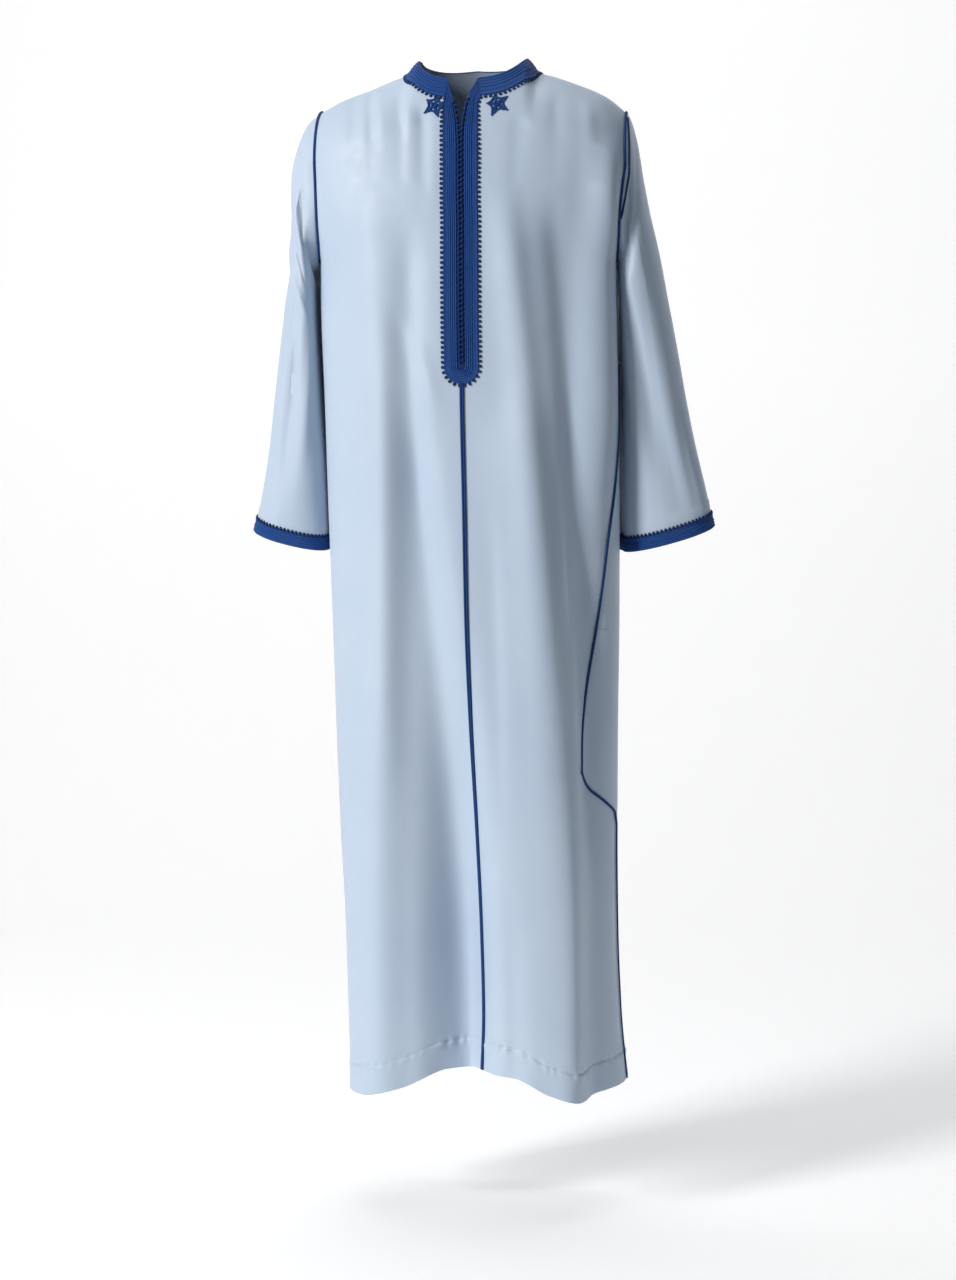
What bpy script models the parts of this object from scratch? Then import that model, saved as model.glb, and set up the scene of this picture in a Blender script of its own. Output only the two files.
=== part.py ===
"""A djellaba: a long loose robe of thin pale cloth with flat braided trim, worn and hanging open.

Metres, +Z up. The front faces -Y and the wearer's left is +X. The origin is at the middle of the
shoulders, at the height of the neck points, where the wearer holds the robe up.
Every panel is a thin wall through points of one surface: level sections of the robe below the
shoulders, and ribs that close over the shoulders like quarter ellipses above them.
"""
import math

import bmesh
import bpy
import numpy as np

# Driving sizes
CLOTH = 0.0014            # thickness of the cloth wall
SEAM_GAP = 0.0003         # distance kept between two pieces
LIFT = 0.0008             # distance of a trim above the cloth's points
RIDGE_Y = 0.012           # the shoulder line lies this far behind the origin
NECK_HALF_WIDTH = 0.074
NECK_FRONT_TURN = 55.7    # degrees over the shoulder between its ridge and the front neck edge
NECK_BACK_TURN = 33.0
NECK_SQUARE = 0.7         # exponent of the neck's squarish oval
COLLAR_HALF_WIDTH = 0.0925
COLLAR_FRONT_TURN = 71.5
COLLAR_BACK_TURN = 55.0
SLIT_BOTTOM = -0.410
V_TOP = -0.018
SLIT_HALF_GAP = 0.0006
UNDERARM = -0.270
PLACKET_INNER = 0.0049
PLACKET_OUTER = 0.0235
KNOT_RADIUS = 0.0021
KNOT_PITCH = 0.0069
BRAID_RIDGE = 0.0012      # height of a braid ridge above the braid's own thickness
BRAID_BASE = 0.0010
EDGE_BACKSET = 0.05       # degrees that a side edge stays back from its seam line
HAIR = 1e-6               # a difference too small to matter
FOLD_EASE = 0.10          # a fold rises to its height over this length
FOLD_FACING = 1.6         # how soon folds fade as the cloth turns to the side
SECTION_STEPS = (0.5, 0.004)  # degrees and metres between the points that give a direction
RIB_STEPS = (0.002, 1.5)
ARMHOLE_TOP = -0.133
NECK_LEVEL = -0.08
NECK_TRIES = 6            # repeats that settle the neck edge beside the slit
SHARP_ANGLE = 40
CUFF_BAND = 0.018
COLLAR_FRONT_Z = -0.045
COLLAR_RIDGES = 5
COLLAR_TURNS = (0, 9, 20, 31, 42, 53, 63, 72, 80, 86, 90, 94, 100, 108, 117, 128, 140, 153, 167, 180)
COLLAR_LIFT = 0.0014
PLACKET_RIDGES = 4
PLACKET_END_STATIONS = 8
PLACKET_ROWS = (-0.0505, -0.070, -0.090, -0.110, -0.133, -0.160, -0.190, -0.220, -0.245, -0.270,
                -0.300, -0.350, -0.380, -0.412)
KNOT_WAIST = 0.5
KNOT_INSET = 0.0024
KNOT_SIDES = 5
KNOTS_TOP = -0.054
KNOTS_BOTTOM = -0.406
CUFF_RIDGES = 3
CENTRE_CORD_WIDTH = 0.0062
CENTRE_CORD_HEIGHT = 0.0030
CENTRE_CORD_LIFT = 0.0008
CENTRE_CORD_TOP = -0.4368
SEAM_CORD_WIDTH = 0.0036
SEAM_CORD_HEIGHT = 0.0020
CORD_SHAPE = ((-0.5, 0.25), (-0.28, 1.0), (0.0, 0.6), (0.28, 1.0), (0.5, 0.25), (0.32, 0.0),
              (-0.32, 0.0))
CORD_INSET = 0.0024       # a seam cord's middle lies this far in from the panel's edge
CORD_END_ROW = 0.06       # a cord stops just above the hem's edge
ARMHOLE_CORD_END = -0.220
ARMHOLE_GAP = 0.0005
SIDE_CORD_TOP = -0.410
CORNER_SPACE = 0.005
CORNER_LIFT = 0.0014       # the left seam cord rides over the bend below the gore
SLEEVE_SQUARE = 0.9
SLEEVE_HEAD_RINGS = 3
SLEEVE_TURN_HEIGHT = 0.045  # the sleeve's edge turns under along this much of the armhole's foot
SLEEVE_CLEAR = 0.0045     # the sleeve's inner back lies this far from the body's side
TUCK_TURN = 212.0         # degrees round the sleeve of the place that lies closest, and its half width
TUCK_WIDTH = 30.0
TUCK_START = 0.02         # it starts this far behind the sleeve's middle
CUFF_SAG = 0.008          # the front of the cuff hangs lower than the line between its two sides
SAG_RINGS = 5
GORE_TOP = -0.29
GORE_BOTTOM = -1.04
GORE_CORNER = -0.966
GORE_BACKSET = 0.15       # degrees between the gore's edge and its seam line
GORE_COLUMNS = 9
STAR_WAIST = 0.0084       # distance from a star's middle to its edge between two tips
STAR_RINGS = ((1.0, 0.0), (1.0, 0.8), (0.42, 1.5))  # share of the radius, height
STAR_TOP = 2.0
STAR_LIFT = 0.0006
STAR_THICKNESS = 0.0011
STAR_RIGHT = (-0.0440, -0.0565)
STAR_LEFT = (0.0424, -0.0540)

PALE = (0.50, 0.60, 0.71)
NAVY = (0.020, 0.060, 0.230)
CORD = (0.035, 0.085, 0.250)
ROUGHNESS = 0.6


def columns(names, *rows):
    """Turn a table with a row for each section into one array for each named column."""
    return dict(zip(names.split(), np.array(rows, float).T))


# The robe's level sections: half widths are measured to each side of the centre line, x
BODY = columns("z centre x_right x_left front back square",
               (-1.445, 0.018, -0.1730, 0.2225, 0.137, 0.128, 2.3),
               (-1.400, 0.020, -0.1735, 0.2170, 0.136, 0.127, 2.3),
               (-1.300, 0.024, -0.1765, 0.2080, 0.133, 0.126, 2.3),
               (-1.180, 0.021, -0.1810, 0.2035, 0.129, 0.124, 2.3),
               (-1.050, 0.015, -0.1885, 0.2025, 0.126, 0.122, 2.3),
               (-0.900, 0.007, -0.1945, 0.2030, 0.123, 0.120, 2.3),
               (-0.750, 0.001, -0.1995, 0.2045, 0.120, 0.117, 2.3),
               (-0.600, -0.002, -0.2050, 0.2045, 0.119, 0.109, 2.3),
               (-0.450, -0.005, -0.2095, 0.2025, 0.121, 0.100, 2.35),
               (-0.330, -0.006, -0.2140, 0.1990, 0.126, 0.102, 2.4),
               (-0.270, -0.006, -0.2150, 0.1980, 0.128, 0.104, 2.4),
               (-0.245, -0.006, -0.2185, 0.2030, 0.128, 0.104, 2.4),
               (-0.220, -0.006, -0.2270, 0.2130, 0.127, 0.103, 2.4),
               (-0.190, -0.007, -0.2360, 0.2260, 0.124, 0.101, 2.4),
               (-0.133, -0.008, -0.2430, 0.2400, 0.115, 0.095, 2.4),
               (-0.080, -0.009, -0.2460, 0.2440, 0.104, 0.088, 2.4),
               (-0.050, -0.009, -0.2460, 0.2440, 0.098, 0.084, 2.4))

# The height of the shoulder line and how far below it the ribs start to close over it
SHOULDER = columns("x top_right top_left span",
                   (0.000, 0.030, 0.030, 0.110),
                   (0.050, 0.025, 0.025, 0.108),
                   (0.074, 0.018, 0.019, 0.104),
                   (0.092, 0.000, 0.0005, 0.098),
                   (0.112, -0.0075, -0.0050, 0.094),
                   (0.141, -0.0195, -0.0150, 0.090),
                   (0.181, -0.0335, -0.0318, 0.084),
                   (0.214, -0.0500, -0.0565, 0.080))

# The armhole edge of the panels, down from the shoulder tip
ARMHOLE = columns("z x_right x_left",
                  (-0.270, -0.2150, 0.1980),
                  (-0.262, -0.2135, 0.1960),
                  (-0.245, -0.2130, 0.1950),
                  (-0.220, -0.2130, 0.1960),
                  (-0.190, -0.2135, 0.2010),
                  (-0.160, -0.2145, 0.2080),
                  (-0.133, -0.2160, 0.2135),
                  (-0.050, -0.2160, 0.2135))

# Half the width of the slit, which stands open above the chest
SLIT = columns("z half",
               (-0.1100, 0.0006),
               (-0.0920, 0.0011),
               (-0.0775, 0.0025),
               (-0.0570, 0.0065),
               (-0.0390, 0.0128),
               (-0.0225, 0.0185),
               (-0.0120, 0.0210))

# Side edges of the front and the back below the arm, in degrees round from the centre front.
# Between them lies the kite-shaped side gore. The robe hangs turned on the body, so that the right
# gore lies further back and isn't seen from the front.
SIDE_EDGE = columns("z front_right back_right front_left back_left",
                    (-0.270, 90.0, 90.0, 90.0, 90.0),
                    (-0.300, 90.8, 92.2, 88.5, 91.5),
                    (-0.350, 92.0, 95.0, 86.0, 93.0),
                    (-0.400, 93.0, 98.5, 83.5, 95.0),
                    (-0.490, 94.0, 106.0, 80.5, 100.0),
                    (-0.560, 94.0, 113.0, 74.0, 106.0),
                    (-0.650, 94.0, 121.5, 65.5, 112.0),
                    (-0.760, 94.0, 129.0, 58.5, 118.0),
                    (-0.880, 94.0, 137.0, 52.5, 124.0),
                    (-0.966, 94.0, 143.0, 47.5, 128.0),
                    (-0.997, 100.5, 130.0, 61.5, 114.0),
                    (-1.012, 105.0, 121.0, 72.5, 103.0),
                    (-1.026, 108.8, 112.8, 83.0, 92.0),
                    (-1.045, 110.0, 110.0, 87.0, 87.0),
                    (-1.450, 110.0, 110.0, 87.0, 87.0))

# The hem's height, in degrees round from the centre front
HEM = columns("turn right left",
              (0.0, -1.378, -1.378),
              (12.0, -1.379, -1.384),
              (26.0, -1.402, -1.412),
              (40.0, -1.415, -1.425),
              (58.0, -1.419, -1.413),
              (90.0, -1.422, -1.405),
              (135.0, -1.428, -1.418),
              (180.0, -1.428, -1.428))

# Main folds: a centre line from its top to its bottom, half width and height (a trough is negative)
FOLDS = columns("face x_top z_top x_bottom z_bottom width_top width_bottom height_top height_bottom",
                (-1, 0.002, -0.72, 0.006, -1.46, 0.030, 0.050, 0.000, -0.074),
                (-1, -0.076, -0.20, -0.058, -1.30, 0.018, 0.030, -0.006, -0.010),
                (-1, 0.112, -0.16, 0.176, -1.12, 0.018, 0.024, -0.006, -0.012),
                (-1, -0.128, -0.14, -0.118, -1.46, 0.028, 0.036, 0.004, 0.012),
                (-1, 0.060, -0.42, 0.098, -1.46, 0.026, 0.034, 0.004, 0.012),
                (-1, 0.176, -0.18, 0.150, -0.72, 0.018, 0.022, 0.005, 0.006),
                (1, -0.125, -0.30, -0.140, -1.46, 0.026, 0.038, -0.004, -0.020),
                (1, -0.050, -0.26, -0.062, -1.46, 0.030, 0.036, 0.003, 0.014),
                (1, 0.020, -0.34, 0.010, -1.46, 0.024, 0.036, -0.004, -0.026),
                (1, 0.072, -0.24, 0.088, -1.46, 0.026, 0.034, 0.003, 0.014),
                (1, 0.128, -0.32, 0.158, -1.46, 0.024, 0.032, -0.004, -0.018))

# The sleeves' rings: outer and inner edge in the robe's front view, front and back reach in y.
# The first ring is the armhole itself.
SLEEVE_RIGHT = columns("outer_x outer_z inner_x inner_z front back",
                       (-0.2160, -0.052, -0.2150, -0.270, -0.062, 0.056),
                       (-0.2385, -0.070, -0.2178, -0.276, -0.064, 0.060),
                       (-0.2485, -0.099, -0.2184, -0.286, -0.065, 0.064),
                       (-0.2540, -0.140, -0.2184, -0.300, -0.065, 0.067),
                       (-0.2548, -0.190, -0.2182, -0.322, -0.063, 0.069),
                       (-0.2558, -0.250, -0.2175, -0.355, -0.058, 0.070),
                       (-0.2660, -0.315, -0.2160, -0.398, -0.051, 0.070),
                       (-0.2755, -0.385, -0.2142, -0.448, -0.044, 0.069),
                       (-0.2845, -0.455, -0.2128, -0.503, -0.037, 0.067),
                       (-0.2925, -0.520, -0.2110, -0.560, -0.030, 0.065),
                       (-0.3040, -0.585, -0.2095, -0.615, -0.022, 0.062),
                       (-0.3150, -0.634, -0.2085, -0.660, -0.014, 0.058))
SLEEVE_LEFT = columns("outer_x outer_z inner_x inner_z front back",
                      (0.2135, -0.054, 0.1980, -0.270, -0.062, 0.056),
                      (0.2230, -0.077, 0.2012, -0.276, -0.064, 0.060),
                      (0.2290, -0.100, 0.2020, -0.286, -0.065, 0.064),
                      (0.2350, -0.140, 0.2024, -0.300, -0.065, 0.067),
                      (0.2445, -0.190, 0.2030, -0.322, -0.063, 0.069),
                      (0.2585, -0.250, 0.2038, -0.355, -0.058, 0.070),
                      (0.2710, -0.315, 0.2050, -0.398, -0.051, 0.070),
                      (0.2845, -0.385, 0.2060, -0.448, -0.044, 0.069),
                      (0.2970, -0.455, 0.2072, -0.503, -0.037, 0.067),
                      (0.3105, -0.520, 0.2082, -0.560, -0.030, 0.065),
                      (0.3250, -0.580, 0.2088, -0.615, -0.022, 0.062),
                      (0.3350, -0.628, 0.2100, -0.662, -0.014, 0.058))

# Drag folds of the sleeves, in degrees round from the outer edge by way of the front
SLEEVE_FOLDS = columns("side turn_top z_top turn_bottom z_bottom width height",
                       (-1, 35, -0.085, 125, -0.265, 16, -0.0070),
                       (-1, 80, -0.300, 72, -0.610, 20, -0.0080),
                       (-1, 250, -0.280, 285, -0.600, 22, -0.0070),
                       (1, 60, -0.110, 118, -0.300, 16, -0.0060),
                       (1, 118, -0.300, 66, -0.640, 20, -0.0080),
                       (1, 290, -0.260, 250, -0.600, 22, -0.0070))

# The tips of the two five-pointed stars: the direction of each in degrees, and its distance
STAR_TIPS_RIGHT = ((71, 0.0105), (143, 0.0125), (215, 0.0162), (287, 0.0152), (359, 0.0098))
STAR_TIPS_LEFT = ((35, 0.0158), (107, 0.0105), (179, 0.0115), (247, 0.0165), (328, 0.0160))

# Rows of the panels: parts of the way from the hem up, level heights, and turns over the shoulder
HEM_ROWS = (0.0, 0.14, 0.42, 0.72)
LEVEL_ROWS = (-1.200, -1.120, -1.045, -1.038, -1.026, -1.012, -0.997, -0.966, -0.880, -0.800, -0.720,
              -0.640, -0.560, -0.490, -0.420, -0.405, -0.350, -0.300, -0.270, -0.262, -0.245, -0.220,
              -0.190, -0.160)
RIB_ROWS = (0.0, 0.2, 0.4, 0.6, 0.8, 1.0)
FRONT_COLUMNS = (0.0, 0.0049, 0.0142, 0.0235, 0.040, 0.056, 0.067, 0.074, 0.0835, 0.092, 0.112, 0.135,
                 0.160, 0.185, 0.204)
BACK_COLUMNS = (0.0, 0.028, 0.052, 0.067, 0.074, 0.0835, 0.092, 0.112, 0.135, 0.160, 0.185, 0.204)

SIDES = (("right", -1), ("left", 1))


def smooth(table, key, name, where):
    """Read one column of a table on a smooth curve that keeps to the rows' own rises and falls."""
    xs = table[key]
    ys = table[name]
    steps = np.diff(xs)
    slopes = np.diff(ys) / steps
    turns = np.zeros_like(ys)
    same_way = slopes[1:] * slopes[:-1] > 0
    turns[1:-1][same_way] = 2 / (1 / slopes[1:][same_way] + 1 / slopes[:-1][same_way])
    turns[0] = slopes[0]
    turns[-1] = slopes[-1]
    where = np.clip(where, xs[0], xs[-1])
    i = np.clip(np.searchsorted(xs, where) - 1, 0, len(xs) - 2)
    t = (where - xs[i]) / steps[i]
    start = (1 + 2 * t) * (1 - t) ** 2 * ys[i] + t * t * (3 - 2 * t) * ys[i + 1]
    return start + steps[i] * (t * (1 - t) ** 2 * turns[i] - t * t * (1 - t) * turns[i + 1])


def power(value, exponent):
    return np.sign(value) * np.abs(value) ** exponent


def half_width(side, z):
    """Distance from the centre line to the section's edge on one side."""
    name = "x_left" if side > 0 else "x_right"
    return np.abs(smooth(BODY, "z", name, z) - smooth(BODY, "z", "centre", z))


def fold_height(face, x, z):
    """How far the main folds move the cloth out of its plain section."""
    total = np.zeros_like(x + z)
    for k in range(len(FOLDS["face"])):
        fold = {name: values[k] for name, values in FOLDS.items()}
        along = np.clip((fold["z_top"] - z) / (fold["z_top"] - fold["z_bottom"]), 0, 1)
        ease = along * along * (3 - 2 * along)
        middle = fold["x_top"] + (fold["x_bottom"] - fold["x_top"]) * along
        width = fold["width_top"] + (fold["width_bottom"] - fold["width_top"]) * along
        height = fold["height_top"] + (fold["height_bottom"] - fold["height_top"]) * ease
        start = np.clip((fold["z_top"] - z) / FOLD_EASE, 0, 1)
        across = np.exp(-((x - middle) / width) ** 2)
        start = start * start * (3 - 2 * start)
        total = total + np.where(face == fold["face"], height * start * across, 0)
    return total


def plain_section(side, turn, z):
    """A point of the unfolded level section, turn degrees round from the centre front."""
    turn = np.radians(turn)
    exponent = 2 / smooth(BODY, "z", "square", z)
    x = smooth(BODY, "z", "centre", z) + side * half_width(side, z) * power(np.sin(turn), exponent)
    ahead = np.cos(turn)
    depth = np.where(ahead > 0, smooth(BODY, "z", "front", z), smooth(BODY, "z", "back", z))
    return x, -depth * power(ahead, exponent), z + 0 * x


def side_x(side, y, z):
    """The x of the back's plain surface at y and z, on one side."""
    square = smooth(BODY, "z", "square", z)
    share = np.clip(np.abs(y) / smooth(BODY, "z", "back", z), 0, 1)
    return smooth(BODY, "z", "centre", z) + side * half_width(side, z) * (1 - share ** square) ** (1 / square)


def section_turn(side, x, z):
    """The turn, from 0 to 90 degrees, at which the section reaches x."""
    share = side * (x - smooth(BODY, "z", "centre", z)) / half_width(side, z)
    return np.degrees(np.arcsin(power(np.clip(share, -1, 1), smooth(BODY, "z", "square", z) / 2)))


def rib_start(x):
    """The height where the rib at x leaves the level sections."""
    right = smooth(SHOULDER, "x", "top_right", np.abs(x))
    left = smooth(SHOULDER, "x", "top_left", np.abs(x))
    return np.where(x < 0, right, left) - smooth(SHOULDER, "x", "span", np.abs(x))


def plain_rib(side, face, x, over):
    """A point over degrees up a rib: 0 where it leaves the sections, 90 on the shoulder line."""
    low = rib_start(x)
    turn = section_turn(side, x, low)
    exponent = 2 / smooth(BODY, "z", "square", low)
    depth = smooth(BODY, "z", "front" if face < 0 else "back", low)
    start = face * depth * power(np.cos(np.radians(turn)), exponent)
    over = np.radians(over)
    z = low + smooth(SHOULDER, "x", "span", np.abs(x)) * np.sin(over)
    return x + 0 * over, RIDGE_Y + (start - RIDGE_Y) * np.cos(over), z


def stacked(parts):
    return np.stack(np.broadcast_arrays(*parts), axis=-1)


def direction(first, second):
    out = np.cross(first, second)
    return out / np.maximum(np.linalg.norm(out, axis=-1, keepdims=True), HAIR * HAIR)


def folded(place, u, v, step_u, step_v, sign):
    """Points and outward directions of a surface, given its plain form and its folds."""
    def at(p, q):
        plain = stacked(place(p, q))
        along_u = stacked(place(p + step_u, q)) - stacked(place(p - step_u, q))
        along_v = stacked(place(p, q + step_v)) - stacked(place(p, q - step_v))
        out = sign * direction(along_u, along_v)
        height = fold_height(np.where(out[..., 1] < 0, -1, 1), plain[..., 0], plain[..., 2])
        share = np.clip(np.abs(out[..., 1]) * FOLD_FACING, 0, 1)
        return plain + out * (height * share)[..., None]
    along_u = at(u + step_u, v) - at(u - step_u, v)
    along_v = at(u, v + step_v) - at(u, v - step_v)
    return at(u, v), sign * direction(along_u, along_v)


def section_points(side, turn, z):
    return folded(lambda p, q: plain_section(side, p, q), turn, z, *SECTION_STEPS, side)


def rib_points(side, face, x, over):
    return folded(lambda p, q: plain_rib(side, face, p, q), x, over, *RIB_STEPS, -face)


def neck_turn(x, face, half_wide=NECK_HALF_WIDTH, front=NECK_FRONT_TURN, back=NECK_BACK_TURN):
    """Degrees up a rib to the neck edge, or to another oval round the neck."""
    share = np.clip(np.abs(x) / half_wide, 0, 1)
    drop = (1 - share ** (2 / NECK_SQUARE)) ** (NECK_SQUARE / 2)
    return 90 - (front if face < 0 else back) * drop


def v_gap(z):
    """Half the width of the slit, or of the seam below it."""
    return np.where(z > SLIT_BOTTOM, smooth(SLIT, "z", "half", z), SEAM_GAP / 2)


def side_turn(side, face, z):
    """The panel's outer edge in degrees round from its own centre line."""
    x_edge = smooth(ARMHOLE, "z", "x_left" if side > 0 else "x_right", z)
    armhole = section_turn(side, x_edge, z)
    seam = gore_edge(side, "front" if face < 0 else "back", z)
    below = seam if face < 0 else 180 - seam
    return np.where(z > UNDERARM + HAIR, armhole, below)


def gore_edge(side, name, z):
    """The front or back seam line of the side gore, read with straight runs for its sharp corners."""
    turns = SIDE_EDGE[name + ("_left" if side > 0 else "_right")]
    order = np.argsort(SIDE_EDGE["z"])
    return np.interp(z, SIDE_EDGE["z"][order], turns[order])


def column_heights(side, face, share):
    """Heights of a column's rows below the shoulder ribs."""
    turn = 90 + face * (90 - share * 90)
    hem = float(smooth(HEM, "turn", "left" if side > 0 else "right", turn))
    return [hem + part * (LEVEL_ROWS[0] - hem) for part in HEM_ROWS] + list(LEVEL_ROWS)


def panel(side, face, column_places):
    """Grid of points and directions for a front half or a back half, from hem to neck and shoulder."""
    tip = float(smooth(ARMHOLE, "z", "x_left" if side > 0 else "x_right", ARMHOLE_TOP))
    centre = float(smooth(BODY, "z", "centre", NECK_LEVEL))
    turns = []
    heights = []
    rib_xs = []
    rib_turns = []
    for j in range(len(column_places) + 1):
        last = j == len(column_places)
        place = 0.0 if last else column_places[j]
        near = 0.0 if last else max(0.0, 1 - place / NECK_HALF_WIDTH)
        x = tip if last else centre * near + side * place
        low = float(rib_start(x))
        start = inner_turn(side, face, low)
        whole = side_turn(side, face, low) - start
        share = 1.0 if last else max((float(section_turn(side, x, low)) - start) / whole, 0.0)
        column = np.array(column_heights(side, face, share))
        start = inner_turn(side, face, column)
        turn = start + share * (side_turn(side, face, column) - start)
        if last:
            turn = turn - np.where(column > UNDERARM + HAIR, 0, EDGE_BACKSET)
        turns.append(turn if face < 0 else 180 - turn)
        heights.append(column)
        top_xs, tops = rib_places(side, face, x, centre, near)
        rib_xs.append(top_xs)
        rib_turns.append(tops)
    lower = section_points(side, np.array(turns).T, np.array(heights).T)
    upper = rib_points(side, face, np.array(rib_xs).T, np.array(rib_turns).T)
    points = np.concatenate([lower[0], upper[0]])
    directions = np.concatenate([lower[1], upper[1]])
    points[-1, :, 1] += np.where(np.array(rib_turns)[:, -1] > 90 - HAIR, face * SEAM_GAP / 2, 0)
    return {"points": points, "directions": directions}


def inner_turn(side, face, z):
    """The panel's centre edge in degrees: the slit or the seam in front, the middle at the back."""
    if face > 0:
        return 0.0 * np.asarray(z)
    return section_turn(side, smooth(BODY, "z", "centre", z) + side * v_gap(z), z)


def rib_places(side, face, x, centre, near):
    """Where a column's rows over the shoulder lie: the x of each, and its degrees up the rib."""
    xs = []
    turns = []
    for part in RIB_ROWS:
        x_here = x
        turn = part * float(neck_turn(x, face))
        if face < 0 and near > 0:
            for _ in range(NECK_TRIES):
                height = float(plain_rib(side, face, x_here, turn)[2])
                x_here = x + side * float(v_gap(height)) * near
                turn = part * float(neck_turn(x_here, face))
        xs.append(x_here)
        turns.append(turn)
    return xs, turns


def build_mesh(name, vertices, faces, colour):
    mesh = bpy.data.meshes.new(name)
    work = bmesh.new()
    made = [work.verts.new([float(c) for c in v]) for v in vertices]
    for face in faces:
        work.faces.new([made[i] for i in face])
    bmesh.ops.recalc_face_normals(work, faces=work.faces)
    work.to_mesh(mesh)
    work.free()
    mesh.shade_smooth()
    mesh.set_sharp_from_angle(angle=math.radians(SHARP_ANGLE))
    thing = bpy.data.objects.new(name, mesh)
    bpy.context.scene.collection.objects.link(thing)
    mesh.materials.append(material(name, colour))
    return thing


def material(name, colour):
    made = bpy.data.materials.new(name)
    made.use_nodes = True
    shader = made.node_tree.nodes["Principled BSDF"]
    shader.inputs["Base Color"].default_value = (*colour, 1)
    shader.inputs["Roughness"].default_value = ROUGHNESS
    shader.inputs["Metallic"].default_value = 0.0
    return made


def split(vertices, corners):
    """The two triangles of a twisted four-sided face, cut along its shorter diagonal."""
    a, b, c, d = corners
    if np.linalg.norm(vertices[a] - vertices[c]) < np.linalg.norm(vertices[b] - vertices[d]):
        return (a, b, c), (a, c, d)
    return (a, b, d), (b, c, d)


def wall(name, grid, around):
    """A closed wall: the outer points, the same points moved in, and the edges between them."""
    outer = grid["points"]
    rows, cols = outer.shape[:2]
    inner = outer - grid["directions"] * CLOTH
    vertices = list(outer.reshape(-1, 3)) + list(inner.reshape(-1, 3))
    half = rows * cols
    faces = []
    last = cols if around else cols - 1
    for i in range(rows - 1):
        for j in range(last):
            k = (j + 1) % cols
            whole = (i * cols + j, i * cols + k, (i + 1) * cols + k, (i + 1) * cols + j)
            for corner in split(vertices, whole):
                faces.append(corner)
                faces.append(tuple(half + c for c in reversed(corner)))
    rim = []
    for j in range(last):
        k = (j + 1) % cols
        rim.append((j, k))
        rim.append(((rows - 1) * cols + j, (rows - 1) * cols + k))
    if not around:
        for i in range(rows - 1):
            rim.append((i * cols, (i + 1) * cols))
            rim.append((i * cols + cols - 1, (i + 1) * cols + cols - 1))
    for a, b in rim:
        faces.append((a, b, half + b, half + a))
    return build_mesh(name, vertices, faces, PALE)


def loft(name, rings, colour, closed=False):
    """A solid through closed rings of points, with a cap on each end unless it closes on itself."""
    count = len(rings[0])
    vertices = [point for ring in rings for point in ring]
    faces = []
    for i in range(len(rings) if closed else len(rings) - 1):
        k = (i + 1) % len(rings)
        for j in range(count):
            n = (j + 1) % count
            faces.append((i * count + j, i * count + n, k * count + n, k * count + j))
    if not closed:
        faces.append(tuple(range(count)))
        faces.append(tuple((len(rings) - 1) * count + j for j in reversed(range(count))))
    return build_mesh(name, vertices, faces, colour)


def between(grid, row, col):
    """A point and direction on a panel's flat facets, at a row and column that need not be whole."""
    points = grid["points"]
    directions = grid["directions"]
    i = int(np.clip(math.floor(row), 0, points.shape[0] - 2))
    j = int(np.clip(math.floor(col), 0, points.shape[1] - 2))
    u = row - i
    v = col - j
    shares = ((i, j, (1 - u) * (1 - v)), (i + 1, j, u * (1 - v)),
              (i, j + 1, (1 - u) * v), (i + 1, j + 1, u * v))
    place = sum(points[a, b] * s for a, b, s in shares)
    out = sum(directions[a, b] * s for a, b, s in shares)
    return place, out / np.linalg.norm(out)


def on_panel(grid, x, z, side):
    """The panel's own facet point at x and z, seen from the front."""
    points = grid["points"]
    count = points.shape[1]
    rows = np.arange(points.shape[0])
    row_of = np.array([np.interp(z, points[:, j, 2], rows) for j in range(count)])
    x_of = np.array([np.interp(row_of[j], rows, points[:, j, 0]) for j in range(count)])
    col = float(np.interp(side * x, side * x_of, np.arange(count)))
    row = float(np.interp(col, np.arange(count), row_of))
    return between(grid, row, col)


def clear_scene():
    for thing in list(bpy.data.objects):
        bpy.data.objects.remove(thing, do_unlink=True)


def make_panels():
    """Two fronts, a whole back, and the grids that the sleeves and trims are made from."""
    grids = {}
    for name, side in SIDES:
        front = panel(side, -1, FRONT_COLUMNS)
        grids["front", side] = front
        wall("front_" + name, front, False)
        grids["back", side] = panel(side, 1, BACK_COLUMNS)
    whole = {}
    for key in ("points", "directions"):
        right = grids["back", -1][key]
        left = grids["back", 1][key]
        whole[key] = np.concatenate([right[:, ::-1], left[:, 1:]], axis=1)
    wall("back", whole, False)
    return grids


def make_gore(name, side):
    """The kite-shaped piece let in at the side, from under the arm to the end of the side opening."""
    heights = np.array([z for z in LEVEL_ROWS if GORE_BOTTOM < z < GORE_TOP])
    front = gore_edge(side, "front", heights) + GORE_BACKSET
    back = gore_edge(side, "back", heights) - GORE_BACKSET
    shares = np.linspace(0, 1, GORE_COLUMNS)
    turns = front[:, None] + (back - front)[:, None] * shares[None, :]
    points, directions = section_points(side, turns, heights[:, None] + 0 * turns)
    wall("side_gore_" + name, {"points": points, "directions": directions}, False)


def armhole_edge(grids, side, key):
    """The armhole's own points or directions, from the shoulder tip down the front and up the back."""
    first = len(HEM_ROWS) + LEVEL_ROWS.index(UNDERARM)
    front = grids["front", side][key][first:, -1]
    back = grids["back", side][key][first:, -1]
    return np.concatenate([front[::-1], back[1:-1]])


def grid_directions(points, middles):
    """Outward directions of a tube's points, from their neighbours."""
    around = np.roll(points, -1, axis=1) - np.roll(points, 1, axis=1)
    along = np.gradient(points, axis=0)
    out = direction(around, along)
    inward = np.sum(out * (points - middles[:, None, :]), axis=-1).mean() < 0
    return -out if inward else out


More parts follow.
